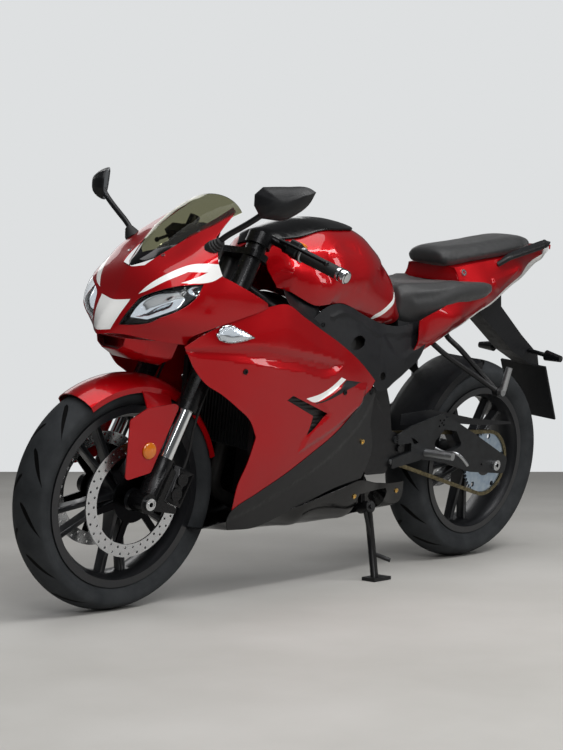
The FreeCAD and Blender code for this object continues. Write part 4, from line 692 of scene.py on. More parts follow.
TEARDROP = smooth_line(
    [(131, 812), (139, 810), (147, 792), (144, 772), (139, 751), (132, 780)], 4)


def mirrored_uv(points):
    """The same line on the nose's other side."""
    return [(-u, v) for u, v in reversed(points)]


def nose(u, v, deeper=0):
    """The nose's face; it has a sharp crest down its middle."""
    across = np.abs(u)
    reach = nose_reach(across, v) - deeper - sunk(across, v, TEARDROP, 3, 3)
    return NOSE_LINE + reach * np.cos(u / TURN), reach * np.sin(u / TURN), v


LAMP = [
    (25, 721), (34, 758), (46, 792), (69, 812), (96, 829), (129, 838), (121, 802), (111, 783),
    (96, 764), (81, 750), (66, 734), (45, 725)]
SCREEN_EDGE = [(2, 859), (26, 866), (42, 902), (60, 934), (79, 966), (122, 1002), (160, 1024)]
NOSE_SIDE = [
    (0, 692), (20, 699), (60, 693), (108, 686), (111, 698), (147, 731), (190, 754), (274, 786),
    (271, 797), (240, 813), (208, 829), (156, 858), (147, 886), (141, 918), (131, 950),
    (146, 982), (172, 1014)]
STRIPE = [
    (41, 799), (52, 822), (72, 852), (88, 869), (103, 880), (125, 886), (149, 887), (155, 860),
    (140, 845), (128, 840), (98, 836), (115, 850), (132, 866), (103, 863), (77, 837),
    (50, 806)]
V_MARK = [
    (0, 703), (16, 708), (24, 748), (30, 784), (0, 777), (-30, 784), (-24, 748), (-16, 708)]
outline = NOSE_SIDE + SCREEN_EDGE[::-1] + mirrored_uv(SCREEN_EDGE[::-1]) + mirrored_uv(
    NOSE_SIDE[1:])
sheet("nose_shell", outline, nose, 7, [candy, film, film, film], "nose_cowl",
      holes=[LAMP, mirrored_uv(LAMP)], core=(1200, 0, 850),
      folds=[[(0, 703), (0, 858)], looped(TEARDROP), mirrored_uv(looped(TEARDROP))],
      areas=[V_MARK, STRIPE, mirrored_uv(STRIPE)])

# ---- Headlamps --------------------------------------------------------------------------
# A clear lens follows the nose's face. Behind it is a black dish with a deep faceted bowl
# and a small round one, both aluminised, and a wall joins its edge to the lens.
chrome_bowl = finish("aluminised_reflector", "#E6EAEE", Roughness=0.12, Metallic=1.0)
lamp_black = finish("black_lamp_bezel", "#0B0C0E", Roughness=0.2)
lens_clear = finish("clear_polycarbonate", "#F7F9FB", Roughness=0.02, Transmission_Weight=1.0,
                    IOR=1.2)
BOWL = smooth_line(
    [(34, 742), (46, 780), (70, 803), (96, 812), (106, 800), (98, 776), (80, 758),
     (60, 742)], 5)
SPOT = [Vector((119 + 11 * math.cos(a / 16 * math.pi), 819 + 11 * math.sin(a / 16 * math.pi)))
        for a in range(32)]


def dished(u, v):
    """Floor of the lamp, with a deep bowl and a small round one."""
    across = np.abs(u)
    facets = 1.2 * np.abs((across / 7) % 1 - 0.5)
    deep = 16 + sunk(across, v, BOWL, 20 + facets * 3, 22) + sunk(across, v, SPOT, 9, 8)
    return nose(u, v, deep)


pair("lamp_lens", LAMP, lambda u, v: nose(u, v, 1.5), 7, lens_clear, "headlights", 2,
     core=(1200, 0, 800), wall=2, edge=0.5)
pair("lamp_dish", LAMP, dished, 4, [lamp_black, chrome_bowl, chrome_bowl], "headlights", 0,
     core=(1200, 0, 800), folds=[looped(BOWL), looped(SPOT)], areas=[BOWL, SPOT], wall=1.5,
     edge=0)


def finished(shape, name):
    """A mesh from a worked shape, shaded smooth."""
    mesh = bpy.data.meshes.new(name)
    shape.to_mesh(mesh)
    shape.free()
    mesh.shade_smooth()
    return mesh


rim = smooth_line(LAMP, 4)
for side, hand in SIDES:
    wall = bmesh.new()
    rows = []
    for depth in (3.0, 17.5):
        rows.append([wall.verts.new(bike(x, side * y, z))
                     for x, y, z in formed(nose, rim, depth)])
    for i in range(len(rim)):
        j = (i + 1) % len(rim)
        wall.faces.new((rows[0][i], rows[0][j], rows[1][j], rows[1][i]))
    bmesh.ops.recalc_face_normals(wall, faces=wall.faces)
    made = make_object("lamp_wall_" + hand, finished(wall, "lamp_wall_" + hand))
    made.modifiers.new("wall", "SOLIDIFY").thickness = 1.2 * MM
    hand_over(made, lamp_black, "headlights", new=True)

# ---- Screen -----------------------------------------------------------------------------
# A blown acrylic bubble, smoked, and black along its foot where it is printed. It is
# drawn as rows along the machine: x, half width, height of the crown and of the foot.
smoke = finish("smoked_acrylic", "#76755C", Roughness=0.02, Transmission_Weight=1.0, IOR=1.15)
foot_black = finish("black_screen_print", "#060607", Roughness=0.08)
SCREEN_ARC = 1.1              # radians from the screen's crown to its foot
SCREEN = [
    (1150, 114, 1052, 1016), (1190, 107, 1035, 997), (1230, 98, 1012, 977),
    (1275, 84, 979, 950), (1320, 66, 940, 917), (1360, 44, 903, 887), (1390, 23, 879, 871),
    (1406, 4, 863, 861)]


def bubble(u, v):
    """Screen at a place along the machine and a turn from -100 to 100 across it."""
    x, half, crown, foot = (np.interp(u, np.arange(len(SCREEN)) * 40,
                                      [row[i] for row in SCREEN]) for i in range(4))
    turn = v / 100 * SCREEN_ARC
    rise = (np.cos(turn) - math.cos(SCREEN_ARC)) / (1 - math.cos(SCREEN_ARC))
    return x, half * np.sin(turn) / math.sin(SCREEN_ARC), foot + (crown - foot) * rise


end = (len(SCREEN) - 1) * 40
FOOT_BAND = [(end + 5, -101), (end + 5, 101), (150, 101), (185, 60), (215, 0), (185, -60),
             (150, -101)]
sheet("screen", [(6, -99), (0, 0), (6, 99), (140, 100), (end, 99), (end, -99), (140, -100)],
      bubble, 9, [smoke, foot_black], "windscreen", areas=[FOOT_BAND], core=(1250, 0, 850),
      edge=0.7)

# ---- Tank -------------------------------------------------------------------------------
# A pressed steel tank, lacquered like the fairings. It is drawn as its distance from a
# line along the machine, for each place along it and turn round it. A step runs down
# its flank, a hollow gives room for the hands, and a thick gloss cover lies on its top.
TANK_LINE = 745.0
CROWN = 50 * math.pi          # a hundredth of a radian for each unit of the drawing
TANK = [
    (484, (90, 742), (97, 764), (64, 792), (12, 798)),
    (520, (101, 742), (114, 785), (86, 848), (58, 868), (12, 874)),
    (590, (110, 744), (131, 805), (98, 902), (66, 937), (12, 949)),
    (643, (118, 757), (143, 830), (104, 936), (66, 972), (12, 984)),
    (700, (128, 772), (155, 850), (104, 962), (66, 990), (14, 1000)),
    (820, (146, 790), (169, 870), (100, 980), (60, 999), (14, 1005)),
    (920, (148, 790), (163, 862), (91, 962), (14, 986)),
    (985, (128, 815), (144, 870), (80, 941), (12, 961)),
    (1060, (100, 850), (114, 868), (58, 905), (10, 925))]
half = [(x, math.atan2(z - TANK_LINE, y) * 100, math.hypot(y, z - TANK_LINE))
        for x, *row in TANK for y, z in row]
tank_reach = skin_over(half + [(x, 2 * CROWN - v, reach) for x, v, reach in half], 0.05)
TANK_STEP = smooth_line(
    [(862, 20), (828, 43), (739, 61), (650, 80), (594, 104), (575, 130), (470, 130),
     (470, -30), (860, -30)], 9)
HAND_HOLLOW = smooth_line(
    [(1050, 103), (1008, 84), (941, 66), (848, 51), (850, 70), (864, 89), (932, 98),
     (972, 110), (1020, 116)], 9)
SHOULDER_FACET = smooth_line(
    [(866, 89), (790, 108), (700, 103), (640, 96), (700, 92), (813, 89)], 9)


def tank(u, v, deeper=0):
    """The tank's face."""
    low = CROWN - np.abs(v - CROWN)
    nose_in = 64 * np.clip((u - 975) / 75, 0, 1)        # clear of the bars on full lock
    reach = (tank_reach(u, v) - deeper - nose_in - sunk(u, low, TANK_STEP, 7, 10)
             - sunk(u, low, HAND_HOLLOW, 9, 16) - sunk(u, low, SHOULDER_FACET, 4, 7))
    return u, reach * np.cos(v / 100), TANK_LINE + reach * np.sin(v / 100)


def over_crown(points):
    """The same line on the tank's other side."""
    return [(u, 2 * CROWN - v) for u, v in points[::-1]]


TANK_RIM = [
    (1016, 88), (1006, 65), (963, 46), (898, 29), (849, 31), (795, 35), (750, 31), (690, 21),
    (620, 6), (551, -8), (512, -6), (488, 10), (486, 60), (486, 110)]
FRONT_RIM = [(1000, 150), (1008, 128), (1014, 106)]
ARC = [
    (632, 2), (594, 15), (566, 30), (543, 46), (534, 66), (543, 66), (552, 52), (571, 40),
    (598, 26), (626, 12)]
step_fold = smooth_line(
    [(862, 20), (828, 43), (739, 61), (650, 80), (594, 104), (575, 125)], 9, closed=False)
tank_folds = [half for fold in (step_fold, looped(HAND_HOLLOW), looped(SHOULDER_FACET))
              for half in (fold, over_crown(fold))]
sheet("tank_shell", TANK_RIM + over_crown(TANK_RIM) + over_crown(FRONT_RIM) + FRONT_RIM,
      tank, 8, [candy, film, film], "fuel_tank", areas=[ARC, over_crown(ARC)],
      core=(760, 0, 840), wall=3, folds=tank_folds)

COVER_RIM = [
    (1002, 126), (945, 116), (855, 118), (780, 121), (735, 125), (696, 130), (668, 140)]
sheet("tank_centre_cover", COVER_RIM + over_crown(COVER_RIM), lambda u, v: tank(u, v, -7), 9,
      gloss_black, "tank_cover", core=(800, 0, 840), wall=6.5, edge=3.2)

# ---- Frame covers -----------------------------------------------------------------------
# Grained black ABS under the tank, with a ridge along the upper edge, an oval opening
# over the frame's bolt and a small round one, both with a dark liner behind them. A black
# strip fills the wedge between the tank's nose and the fairing.
abs_black = finish("grained_black_ABS", "#0F1013", rough=(45, 0.4, 0.54),
                   grain=(1100, 0.08, 2), Roughness=0.46, Specular_IOR_Level=0.35)
# Steel screws with a yellow passivation.
brass = finish("yellow_passivated_steel", "#C9A865", Roughness=0.3, Metallic=1.0)
COVER_POINTS = [
    (905, 783, 160), (882, 716, 172), (762, 652, 176), (655, 588, 170), (560, 536, 162),
    (470, 620, 136), (384, 702, 118), (384, 728, 112), (500, 733, 118), (589, 738, 124),
    (700, 768, 134), (790, 786, 146), (865, 753, 163), (722, 697, 165), (615, 640, 158),
    (700, 640, 172), (500, 640, 142)]
cover_y = skin_over(COVER_POINTS, 0.05)
RIDGE = smooth_line(
    [(848, 764), (779, 779), (706, 758), (630, 725), (598, 708), (634, 711), (709, 746),
     (779, 767), (838, 757)], 7)
CORNER_PANEL = smooth_line(
    [(592, 719), (522, 711), (426, 723), (394, 728), (396, 712), (480, 656), (515, 649),
     (552, 664), (580, 692)], 7, corner=60)
OVAL = [
    (770, 684), (756, 700), (734, 711), (706, 711), (694, 702), (702, 688), (724, 679),
    (752, 676)]
SMALL_HOLE = [
    (624, 603), (618, 611), (608, 613), (599, 608), (597, 599), (603, 591), (613, 589),
    (621, 594)]


def frame_cover(u, v):
    """The cover's face, with its ridge raised and its rear corner pressed in."""
    return u, cover_y(u, v) + sunk(u, v, RIDGE, 3, 4) - sunk(u, v, CORNER_PANEL, 4, 6), v


FRAME_COVER = [
    (922, 754), (862, 785), (811, 796), (766, 793), (675, 764), (588, 741), (518, 735),
    (440, 744), (388, 752), (388, 694), (416, 650), (501, 604), (554, 582), (596, 563),
    (640, 561), (655, 580), (729, 634), (820, 683), (910, 722)]
pair("frame_cover", FRAME_COVER, frame_cover, 8, abs_black, "frame_covers",
     holes=[OVAL, SMALL_HOLE],
     folds=[looped(RIDGE), inset_line(RIDGE, 4), looped(CORNER_PANEL)])
pair("frame_liner", [(900, 745), (800, 780), (600, 725), (420, 720), (430, 660), (600, 575),
                     (650, 585), (900, 712)], lambda u, v: (u, cover_y(u, v) - 24, v), 12,
     heat_black, "frame_covers", 0, edge=0)
STRIP_POINTS = [
    (1075, 868, 104), (1017, 838, 120), (963, 812, 132), (898, 785, 146), (900, 730, 178),
    (990, 763, 190), (1062, 794, 192), (1110, 786, 190), (1110, 850, 112)]
strip_y = skin_over(STRIP_POINTS, 0.05)
pair("tank_strip", [(990, 832), (963, 820), (898, 792), (868, 790), (880, 740), (900, 736),
                    (990, 767), (1016, 778), (1010, 806)],
     lambda u, v: (u, strip_y(u, v), v), 9, satin_black, "frame_covers", 0)

# ---- Tail -------------------------------------------------------------------------------
# Two lacquered flanks that rise to a point, a deck between them, and a bowed front under
# the pillion pad. A raised triangle is pressed into each flank, and its lower edge has
# white film on it.
TAIL_POINTS = [
    (450, 640, 112), (450, 690, 139), (436, 735, 130), (300, 703, 108), (300, 748, 137),
    (300, 800, 130), (256, 722, 104), (256, 765, 134), (256, 820, 122), (256, 868, 104),
    (256, 904, 88), (120, 779, 96), (120, 832, 123), (120, 880, 112), (120, 928, 92),
    (-60, 866, 74), (-60, 906, 98), (-60, 955, 84), (-200, 934, 48), (-200, 956, 71),
    (-200, 982, 58), (-306, 975, 18), (-306, 990, 14)]
tail_y = skin_over(TAIL_POINTS, 0.03)
FLANK_FACET = smooth_line(
    [(104, 884), (20, 902), (-54, 921), (-20, 884), (52, 838), (84, 846), (98, 864)], 6,
    corner=30)


def tail_side(u, v):
    """Flank of the tail at a place along the machine and a height."""
    return u, tail_y(u, v) + sunk(u, v, FLANK_FACET, 5, 8), v


TAIL_LOW = [
    (452, 640), (298, 703), (136, 775), (34, 820), (-66, 868), (-140, 904), (-206, 938),
    (-306, 977)]
TAIL_TOP = [(-308, 990), (-200, 983), (-60, 956), (120, 929), (257, 905)]
EDGE_FILM = [
    (300, 690), (300, 706), (136, 783), (20, 838), (-62, 884), (-100, 916), (-170, 950),
    (-250, 982), (-320, 990), (-320, 960), (-200, 920), (-66, 850), (136, 760)]
pair("tail_flank", TAIL_LOW + TAIL_TOP + [(250, 884), (252, 850), (300, 812), (380, 776),
                                          (436, 752)],
     tail_side, 6, [candy, film], "tail_cowl", areas=[EDGE_FILM],
     folds=[looped(FLANK_FACET), inset_line(FLANK_FACET, 7)], core=(70, 0, 840))

deck_edge = [(257, 87), (120, 91), (-60, 83), (-200, 57), (-308, 13)]
deck_z = skin_over([(x, y * k, z + (6 if k == 0 else 0)) for (x, y), z in zip(
    deck_edge, (905, 929, 956, 983, 990)) for k in (-1, 0, 1)], 0.01)
sheet("tail_deck", deck_edge + [(x, -y) for x, y in deck_edge[::-1]],
      lambda u, v: (u, v, deck_z(u, v)), 9, candy, "tail_cowl", new=True, core=(0, 0, 700))


def hump_front(u, v):
    """Bowed wall between the seats, at a place across and a height."""
    lean_in = (v - 860) / 45
    return 252 + 3 * lean_in - (u / 90) ** 2 * 3, u, v


sheet("tail_hump_front", [(-86, 904), (-60, 905), (0, 906), (60, 905), (86, 904), (96, 880),
                          (104, 861), (0, 861), (-104, 861), (-96, 880)],
      hump_front, 9, candy, "tail_cowl", new=True, core=(0, 0, 880), edge=2)

# Red acrylic of the tail light.
lens_red = finish("red_acrylic", "#A00810", Roughness=0.1)
carry(lens_red, "tail_light")

# ---- Seats ------------------------------------------------------------------------------
# Foam pads in grained black vinyl, pulled tight. Each is a closed skin that a short run
# of cloth with air inside swells a few millimetres, so that its faces are slightly
# crowned. The rider's seat reaches back beside the hump with two wings.

# Vinyl with a grain of about 0.8 mm.
vinyl = finish("black_seat_vinyl", "#1B1C1D", rough=(30, 0.44, 0.58), grain=(1300, 0.1, 3),
               Roughness=0.5, Sheen_Weight=0.25, Sheen_Roughness=0.4)


def skinned(name, *stacks, crease=34):
    """Closed skins through rows of points in the scene; a row of one point is a tip."""
    skin = bmesh.new()
    for rows in stacks:
        made = [[skin.verts.new(p) for p in row] for row in rows]
        count = max(map(len, made))
        for near, far in zip(made, made[1:]):
            for i in range(count):
                j = (i + 1) % count
                corners = [near[i % len(near)], near[j % len(near)],
                           far[j % len(far)], far[i % len(far)]]
                corners = list(dict.fromkeys(corners))
                if len(corners) > 2:
                    skin.faces.new(corners)
    bmesh.ops.recalc_face_normals(skin, faces=skin.faces)
    mesh = finished(skin, name)
    mesh.set_sharp_from_angle(angle=math.radians(crease))
    return make_object(name, mesh)


def stacked(stack, between=5):
    """Rows of scene points from rings of (y, z) along the machine, with smooth runs
    between the rings and a tip at either end."""
    rings = [np.array([(x, y, z) for y, z in row], float) for x, row in stack]
    rings = [2 * rings[0] - rings[1]] + rings + [2 * rings[-1] - rings[-2]]
    rows = []
    for p, q, r, s in zip(rings, rings[1:], rings[2:], rings[3:]):
        for k in range(between):
            t = k / between
            rows.append(0.5 * (2 * q + (r - p) * t + (2 * p - 5 * q + 4 * r - s) * t ** 2
                               + (3 * q - p - 3 * r + s) * t ** 3))
    rows.append(rings[-2])
    rows = [rows[0].mean(0, keepdims=True)] + rows + [rows[-1].mean(0, keepdims=True)]
    return [[bike(*p) for p in row] for row in rows]


def both_halves(stack):
    """Whole rings from their left halves."""
    return [(x, list(row) + [(-y, z) for y, z in row[::-1] if y]) for x, *row in stack]


def on_side(stack, side):
    """The same rings on the left (1) or the right (-1)."""
    return [(x, [(side * y, z) for y, z in row]) for x, row in stack]


def as_mesh(made):
    """The object with its modifiers worked out."""
    done = made.evaluated_get(bpy.context.evaluated_depsgraph_get())
    return bpy.data.meshes.new_from_object(done)


def stuffed(made, cap_mm, voxel_mm=5.0, soften=4):
    """Even out a closed skin, round its edges and swell it no further than a cap."""
    even = made.modifiers.new("even", "REMESH")
    even.mode, even.voxel_size = "VOXEL", voxel_mm * MM
    made.modifiers.new("soften", "SMOOTH").iterations = soften
    made.data = as_mesh(made)
    made.modifiers.clear()
    before = np.array([v.co for v in made.data.vertices])
    filling = made.modifiers.new("filling", "CLOTH").settings
    filling.use_pressure = True
    filling.uniform_pressure_force = 4.0
    filling.effector_weights.gravity = 0.0
    for moment in range(1, 21):
        scene.frame_set(moment)
    swell = np.array([v.co for v in as_mesh(made).vertices]) - before
    made.modifiers.clear()
    scene.frame_set(1)
    far = np.linalg.norm(swell, axis=1, keepdims=True)
    after = before + swell * np.minimum(1, cap_mm * MM / np.maximum(far, 1e-9))
    made.data.vertices.foreach_set("co", after.ravel())
    made.modifiers.new("relax", "SMOOTH").iterations = 9
    made.data = as_mesh(made)
    made.modifiers.clear()
    smooth = made.modifiers.new("smooth", "SUBSURF")
    smooth.levels = smooth.render_levels = 1
    made.data.shade_smooth()
    return made


SADDLE = [
    (481, (0, 742), (70, 742), (86, 764), (84, 818), (68, 842), (0, 844)),
    (440, (0, 738), (94, 738), (104, 760), (101, 830), (80, 850), (0, 850)),
    (360, (0, 754), (114, 758), (128, 782), (122, 842), (94, 856), (0, 851)),
    (290, (0, 780), (120, 786), (136, 810), (131, 852), (100, 864), (0, 857)),
    (262, (0, 796), (122, 796), (137, 820), (129, 858), (96, 870), (0, 866))]
WING = [
    (320, [(84, 800), (124, 794), (133, 814), (129, 848), (100, 859), (80, 855)]),
    (262, [(86, 802), (124, 798), (137, 821), (131, 859), (106, 870), (86, 867)]),
    (200, [(96, 810), (127, 810), (137, 832), (130, 862), (112, 872), (98, 868)]),
    (140, [(100, 820), (125, 821), (133, 840), (128, 863), (113, 872), (100, 869)]),
    (104, [(102, 832), (119, 833), (126, 848), (122, 862), (111, 868), (102, 865)])]
saddle = skinned("rider_saddle", stacked(both_halves(SADDLE)), stacked(WING),
                 stacked(on_side(WING, -1)))
hand_over(stuffed(saddle, 3), vinyl, "rider_seat")

PAD = [
    (296, (0, 914), (54, 915), (66, 930), (54, 943), (30, 947), (0, 948)),
    (264, (0, 908), (68, 909), (80, 927), (66, 948), (38, 957), (0, 959)),
    (120, (0, 932), (78, 933), (91, 951), (76, 969), (48, 976), (0, 977)),
    (-60, (0, 958), (75, 960), (88, 980), (72, 999), (44, 1005), (0, 1006)),
    (-146, (0, 976), (52, 978), (62, 994), (48, 1006), (28, 1009), (0, 1009))]
pillion = skinned("pillion_pad", stacked(both_halves(PAD)))
hand_over(stuffed(pillion, 5), vinyl, "pillion_seat")

# ---- Seat pan and handholds -------------------------------------------------------------
# A black pan carries the rider's seat, and a black wing on each side of the tail is the
# pillion's handhold. Both are grained ABS.
PAN = [
    (486, (0, 712), (78, 712), (92, 728), (88, 748), (0, 748)),
    (440, (0, 702), (98, 702), (110, 722), (106, 744), (0, 744)),
    (360, (0, 716), (112, 718), (122, 738), (120, 762), (0, 762)),
    (290, (0, 744), (112, 746), (124, 766), (122, 790), (0, 790))]
pan = skinned("seat_pan", stacked(both_halves(PAN)))
hand_over(pan, abs_black, "tail_cowl", new=True)
HANDHOLD = [
    (50, [(96, 928), (108, 930), (111, 938), (98, 940)]),
    (0, [(88, 938), (112, 944), (117, 957), (90, 960)]),
    (-90, [(84, 957), (114, 967), (118, 982), (88, 986)]),
    (-170, [(72, 975), (104, 985), (107, 999), (76, 1003)]),
    (-212, [(62, 988), (84, 995), (86, 1003), (64, 1006)])]
for side, hand in SIDES:
    wing = skinned("handhold_" + hand, stacked(on_side(HANDHOLD, side), 4))
    hand_over(wing, abs_black, "grab_rails", new=side < 0)

# ---- Mirrors ----------------------------------------------------------------------------
# Swept housings of grained ABS on black stalks, each with a rubber boot at its foot. The
# housing is a dome over its outline, and the silvered glass closes its back.
def turned(name, profile, at, towards, sides=36):
    """A round piece: a profile of (radius, height) in mm, turned about an axis."""
    axis = (Vector(towards) - Vector(at)).normalized()
    side = axis.orthogonal().normalized()
    other = axis.cross(side)
    turns = [2 * math.pi * i / sides for i in range(sides)]
    return skinned(name, [[Vector(at) + axis * height * MM
                           + (side * math.cos(a) + other * math.sin(a)) * radius * MM
                           for a in (turns if radius > 1e-6 else turns[:1])]
                          for radius, height in profile])


def smooth_curve(name, points):
    """A curve near its control points in the scene, and its object."""
    line = bpy.data.curves.new(name, "CURVE")
    line.dimensions = "3D"
    run = line.splines.new("NURBS")
    run.points.add(len(points) - 1)
    for point, place in zip(run.points, points):
        point.co = (*place, 1)
    run.order_u, run.use_endpoint_u = 3, True
    return line, make_object(name, line)


def thicken(line, radius_mm):
    """Make a curve round and close its ends."""
    line.bevel_depth, line.bevel_resolution, line.use_fill_caps = radius_mm * MM, 4, True


def pipe(name, points, radius_mm):
    """A round tube along a smooth line through the scene."""
    line, rough = smooth_curve(name, points)
    thicken(line, radius_mm)
    mesh = as_mesh(rough)
    bpy.data.objects.remove(rough)
    mesh.shade_smooth()
    return make_object(name, mesh)


# Glass silvered on its back.
mirror_glass = finish("silvered_glass", "#D9DEE3", Roughness=0.02, Metallic=1.0)
MIRROR_AT = (1243, 343, 1048)
MIRROR_RIM = [
    (-72, 14), (-54, 33), (0, 39), (58, 40), (71, 33), (58, 4), (28, -25), (6, -38),
    (-52, -41), (-71, -12)]
rim = smooth_line(MIRROR_RIM, 5, corner=30)


def nested(name, levels, side):
    """A closed piece of rings about the mirror's middle: a share of the rim's size and
    a height off the glass plane in mm for each."""
    return skinned(name, [[bike(MIRROR_AT[0] - 0.7 * p.x * k + 0.714 * h,
                                side * (MIRROR_AT[1] + 0.714 * p.x * k + 0.7 * h),
                                MIRROR_AT[2] + p.y * k)
                           for p in (rim if k else [Vector((0, 0))])] for k, h in levels],
                   crease=50)


CUP = [
    (0, 24), (0.3, 22.5), (0.52, 18.5), (0.7, 12), (0.84, 4), (0.93, -3), (0.98, -8), (1, -11),
    (1, -14), (0.965, -14), (0.965, -11), (0, -11)]
PANE = [(0, -11), (0.955, -11), (0.955, -13.2), (0.94, -13.6), (0, -13.6)]
for side, hand in SIDES:
    cup = nested("mirror_housing_" + hand, CUP, side)
    hand_over(cup, abs_black, "mirrors", new=side < 0)
    pane = nested("mirror_glass_" + hand, PANE, side)
    hand_over(pane, mirror_glass, "mirrors", new=True)
    stalk = pipe("mirror_stalk_" + hand,
                 [bike(1276, side * 158, 930), bike(1274, side * 172, 948),
                  bike(1266, side * 250, 990), bike(1262, side * 298, 1020),
                  bike(1260, side * 312, 1034)], 7.5)
    hand_over(stalk, satin_black, "mirrors", new=True)
    boot = turned("mirror_boot_" + hand, [(0, -14), (21, -14), (20, 2), (17, 4), (17.5, 9),
                                          (14.5, 11), (15, 16), (12, 18), (12, 24), (8.5, 28),
                                          (0, 28)],
                  bike(1277, side * 155, 925), bike(1270, side * 205, 970))
    hand_over(boot, rubber, "mirrors", new=True)

# ---- Handlebar ends, switches and reflectors --------------------------------------------
# Chromed weights close the bars. The switch housings are black, with an orange button,
# and an amber reflector sits on each side of the front fender.
CLAMP_TOP, BAR_END, FORK_HALF = 738.0, 338.0, 100.0


def bar(y, ahead=0.0, above=0.0):
    """A place on the left handlebar's middle line, in the scene."""
    share = (abs(y) - FORK_HALF - 18) / 222
    return fork(14 - 70 * share + ahead, y, CLAMP_TOP - 44 * share + above)


def block(name, at, along, up, size, ease):
    """A box with rounded edges, its first side along a line."""
    x = (Vector(along) - Vector(at)).normalized()
    y = Vector(up).cross(x).normalized()
    turn = Matrix((x, y, x.cross(y))).transposed()
    solid = bmesh.new()
    bmesh.ops.create_cube(solid, size=1)
    for v in solid.verts:
        v.co = Vector(at) + turn @ Vector([c * s * MM for c, s in zip(v.co, size)])
    bmesh.ops.recalc_face_normals(solid, faces=solid.faces)
    made = make_object(name, finished(solid, name))
    round_edges(made, ease, 30, 3)
    return made


# Moulded orange plastic, and amber acrylic that lets some light in.
orange = finish("orange_ABS", "#E8820E", Roughness=0.35)
amber = finish("amber_acrylic", "#E07A0C", Roughness=0.08, Coat_Weight=0.5,
               Transmission_Weight=0.25)
for side, hand in SIDES:
    weight = turned("bar_weight_" + hand, [(0, -12), (17.2, -12), (17.6, -9), (17.2, -5),
                                           (13, -4), (13, 0), (17.4, 1), (17.8, 6), (17, 14),
                                           (13, 17.5), (0, 18.5)],
                    bar(side * (BAR_END - 2)), bar(side * (BAR_END + 20)))
    hand_over(weight, chrome, "handlebars", new=True)
    collar = turned("grip_collar_" + hand, [(0, -4), (18.5, -4), (20, -2), (20, 2), (18, 4),
                                            (0, 4)], bar(side * 218), bar(side * 230))
    hand_over(collar, bare_alloy, "grips", new=True)
    housing = block("switch_housing_" + hand, bar(side * 196, 0, 3), bar(side * 220, 0, 3),
                    ALONG, (34, 42, 40), 6)
    hand_over(housing, satin_black, "handlebars", new=True)
    button = block("orange_button_" + hand, bar(side * 200, -12, 24), bar(side * 220, -12, 24),
                   ALONG, (20, 14, 9), 1.5)
    hand_over(button, orange, "handlebars", new=True)
    tip = turned("lever_ball_" + hand, [(0, -7.5), (3.8, -6.5), (6.5, -3.8), (7.5, 0),
                                        (6.5, 3.8), (3.8, 6.5), (0, 7.5)],
                 bar(side * (BAR_END - 18), 46, 2), bar(side * (BAR_END + 10), 46, 2), 20)
    hand_over(tip, anodised, "handlebars", new=True)
    lens = turned("side_reflector_" + hand, [(0, -3), (20.5, -3), (20.5, 3), (19, 4.5),
                                             (17.5, 4.5), (17, 5.5), (9, 7.5), (0, 8)],
                  bike(1383, side * 107, 421), bike(1383, side * 150, 421))
    hand_over(lens, amber, "front_fender", new=True)

# ---- Indicators -------------------------------------------------------------------------
# The front ones are clear teardrops let into the fairings, with a bright faceted bowl
# behind the lens; the rear ones stand on short stalks by the number plate.
TEAR = [
    (1277, 717), (1264, 735), (1246, 742), (1208, 733), (1164, 713), (1204, 702), (1244, 698),
    (1268, 704)]
tear = smooth_line(TEAR, 5, corner=80)


def tear_lens(u, v):
    """Lens that rises 15 mm over the fairing within 17 mm of its edge."""
    out = np.clip(distance(u, v, tear) / 17, 0, 1)
    return u, flank_y(u, v) + 15 * np.sqrt(out * (2 - out)) - 1, v


def tear_bowl(u, v):
    """Bowl behind the lens, with upright facets 9 mm wide."""
    return u, flank_y(u, v) + 2 + 2.2 * np.abs((u / 9) % 1 - 0.5) + sunk(u, v, tear, 6, 14), v


lens_clear_tint = finish("clear_indicator_lens", "#F4F6F8", Roughness=0.03,
                         Transmission_Weight=1.0, IOR=1.3)
pair("indicator_bowl", TEAR, tear_bowl, 4, chrome_bowl, "indicators", 0, wall=1, edge=0)
pair("indicator_lens", TEAR, tear_lens, 5, lens_clear_tint, "indicators", 0, wall=2, edge=0)
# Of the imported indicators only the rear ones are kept: the teardrops replace the others.
rear_lamps = carry(lamp_black, "indicators")
kept = bmesh.new()
kept.from_mesh(rear_lamps.data)
bmesh.ops.delete(kept, geom=[v for v in kept.verts if (v.co - REAR_AXLE).x > 0.9],
                 context="VERTS")
kept.to_mesh(rear_lamps.data)
kept.free()

# ---- Brake hoses ------------------------------------------------------------------------
# Three black rubber hoses of 7 mm swing with the fork: one from the master cylinder to
# the lower yoke, and one from there down to each caliper.
HOSES = {"bar": [(23.081, -158, 726.808), (23.081, -158, 666.808), (66, -120, 600),
                 (64, -30, 545), (44, -14, 530), (44, -14, 500.3)]}
for side, hand in SIDES:
    HOSES["caliper_" + hand] = [
        (-60, side * 81.55, 122.3), (-60, side * 81.55, 160), (-16, side * 97, 240),
        (-14, side * 97, 390), (8, side * 52, 436), (8, side * 52, 469.7)]
for count, (name, points) in enumerate(HOSES.items()):
    line, hose = smooth_curve("hose_" + name, [fork(*place) for place in points])
    bare = [v.co.copy() for v in as_mesh(hose).vertices]
    thicken(line, 3.5)
    line.materials.append(rubber)
    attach(hose, "steering")
    if not count:
        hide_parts("brake_hoses")


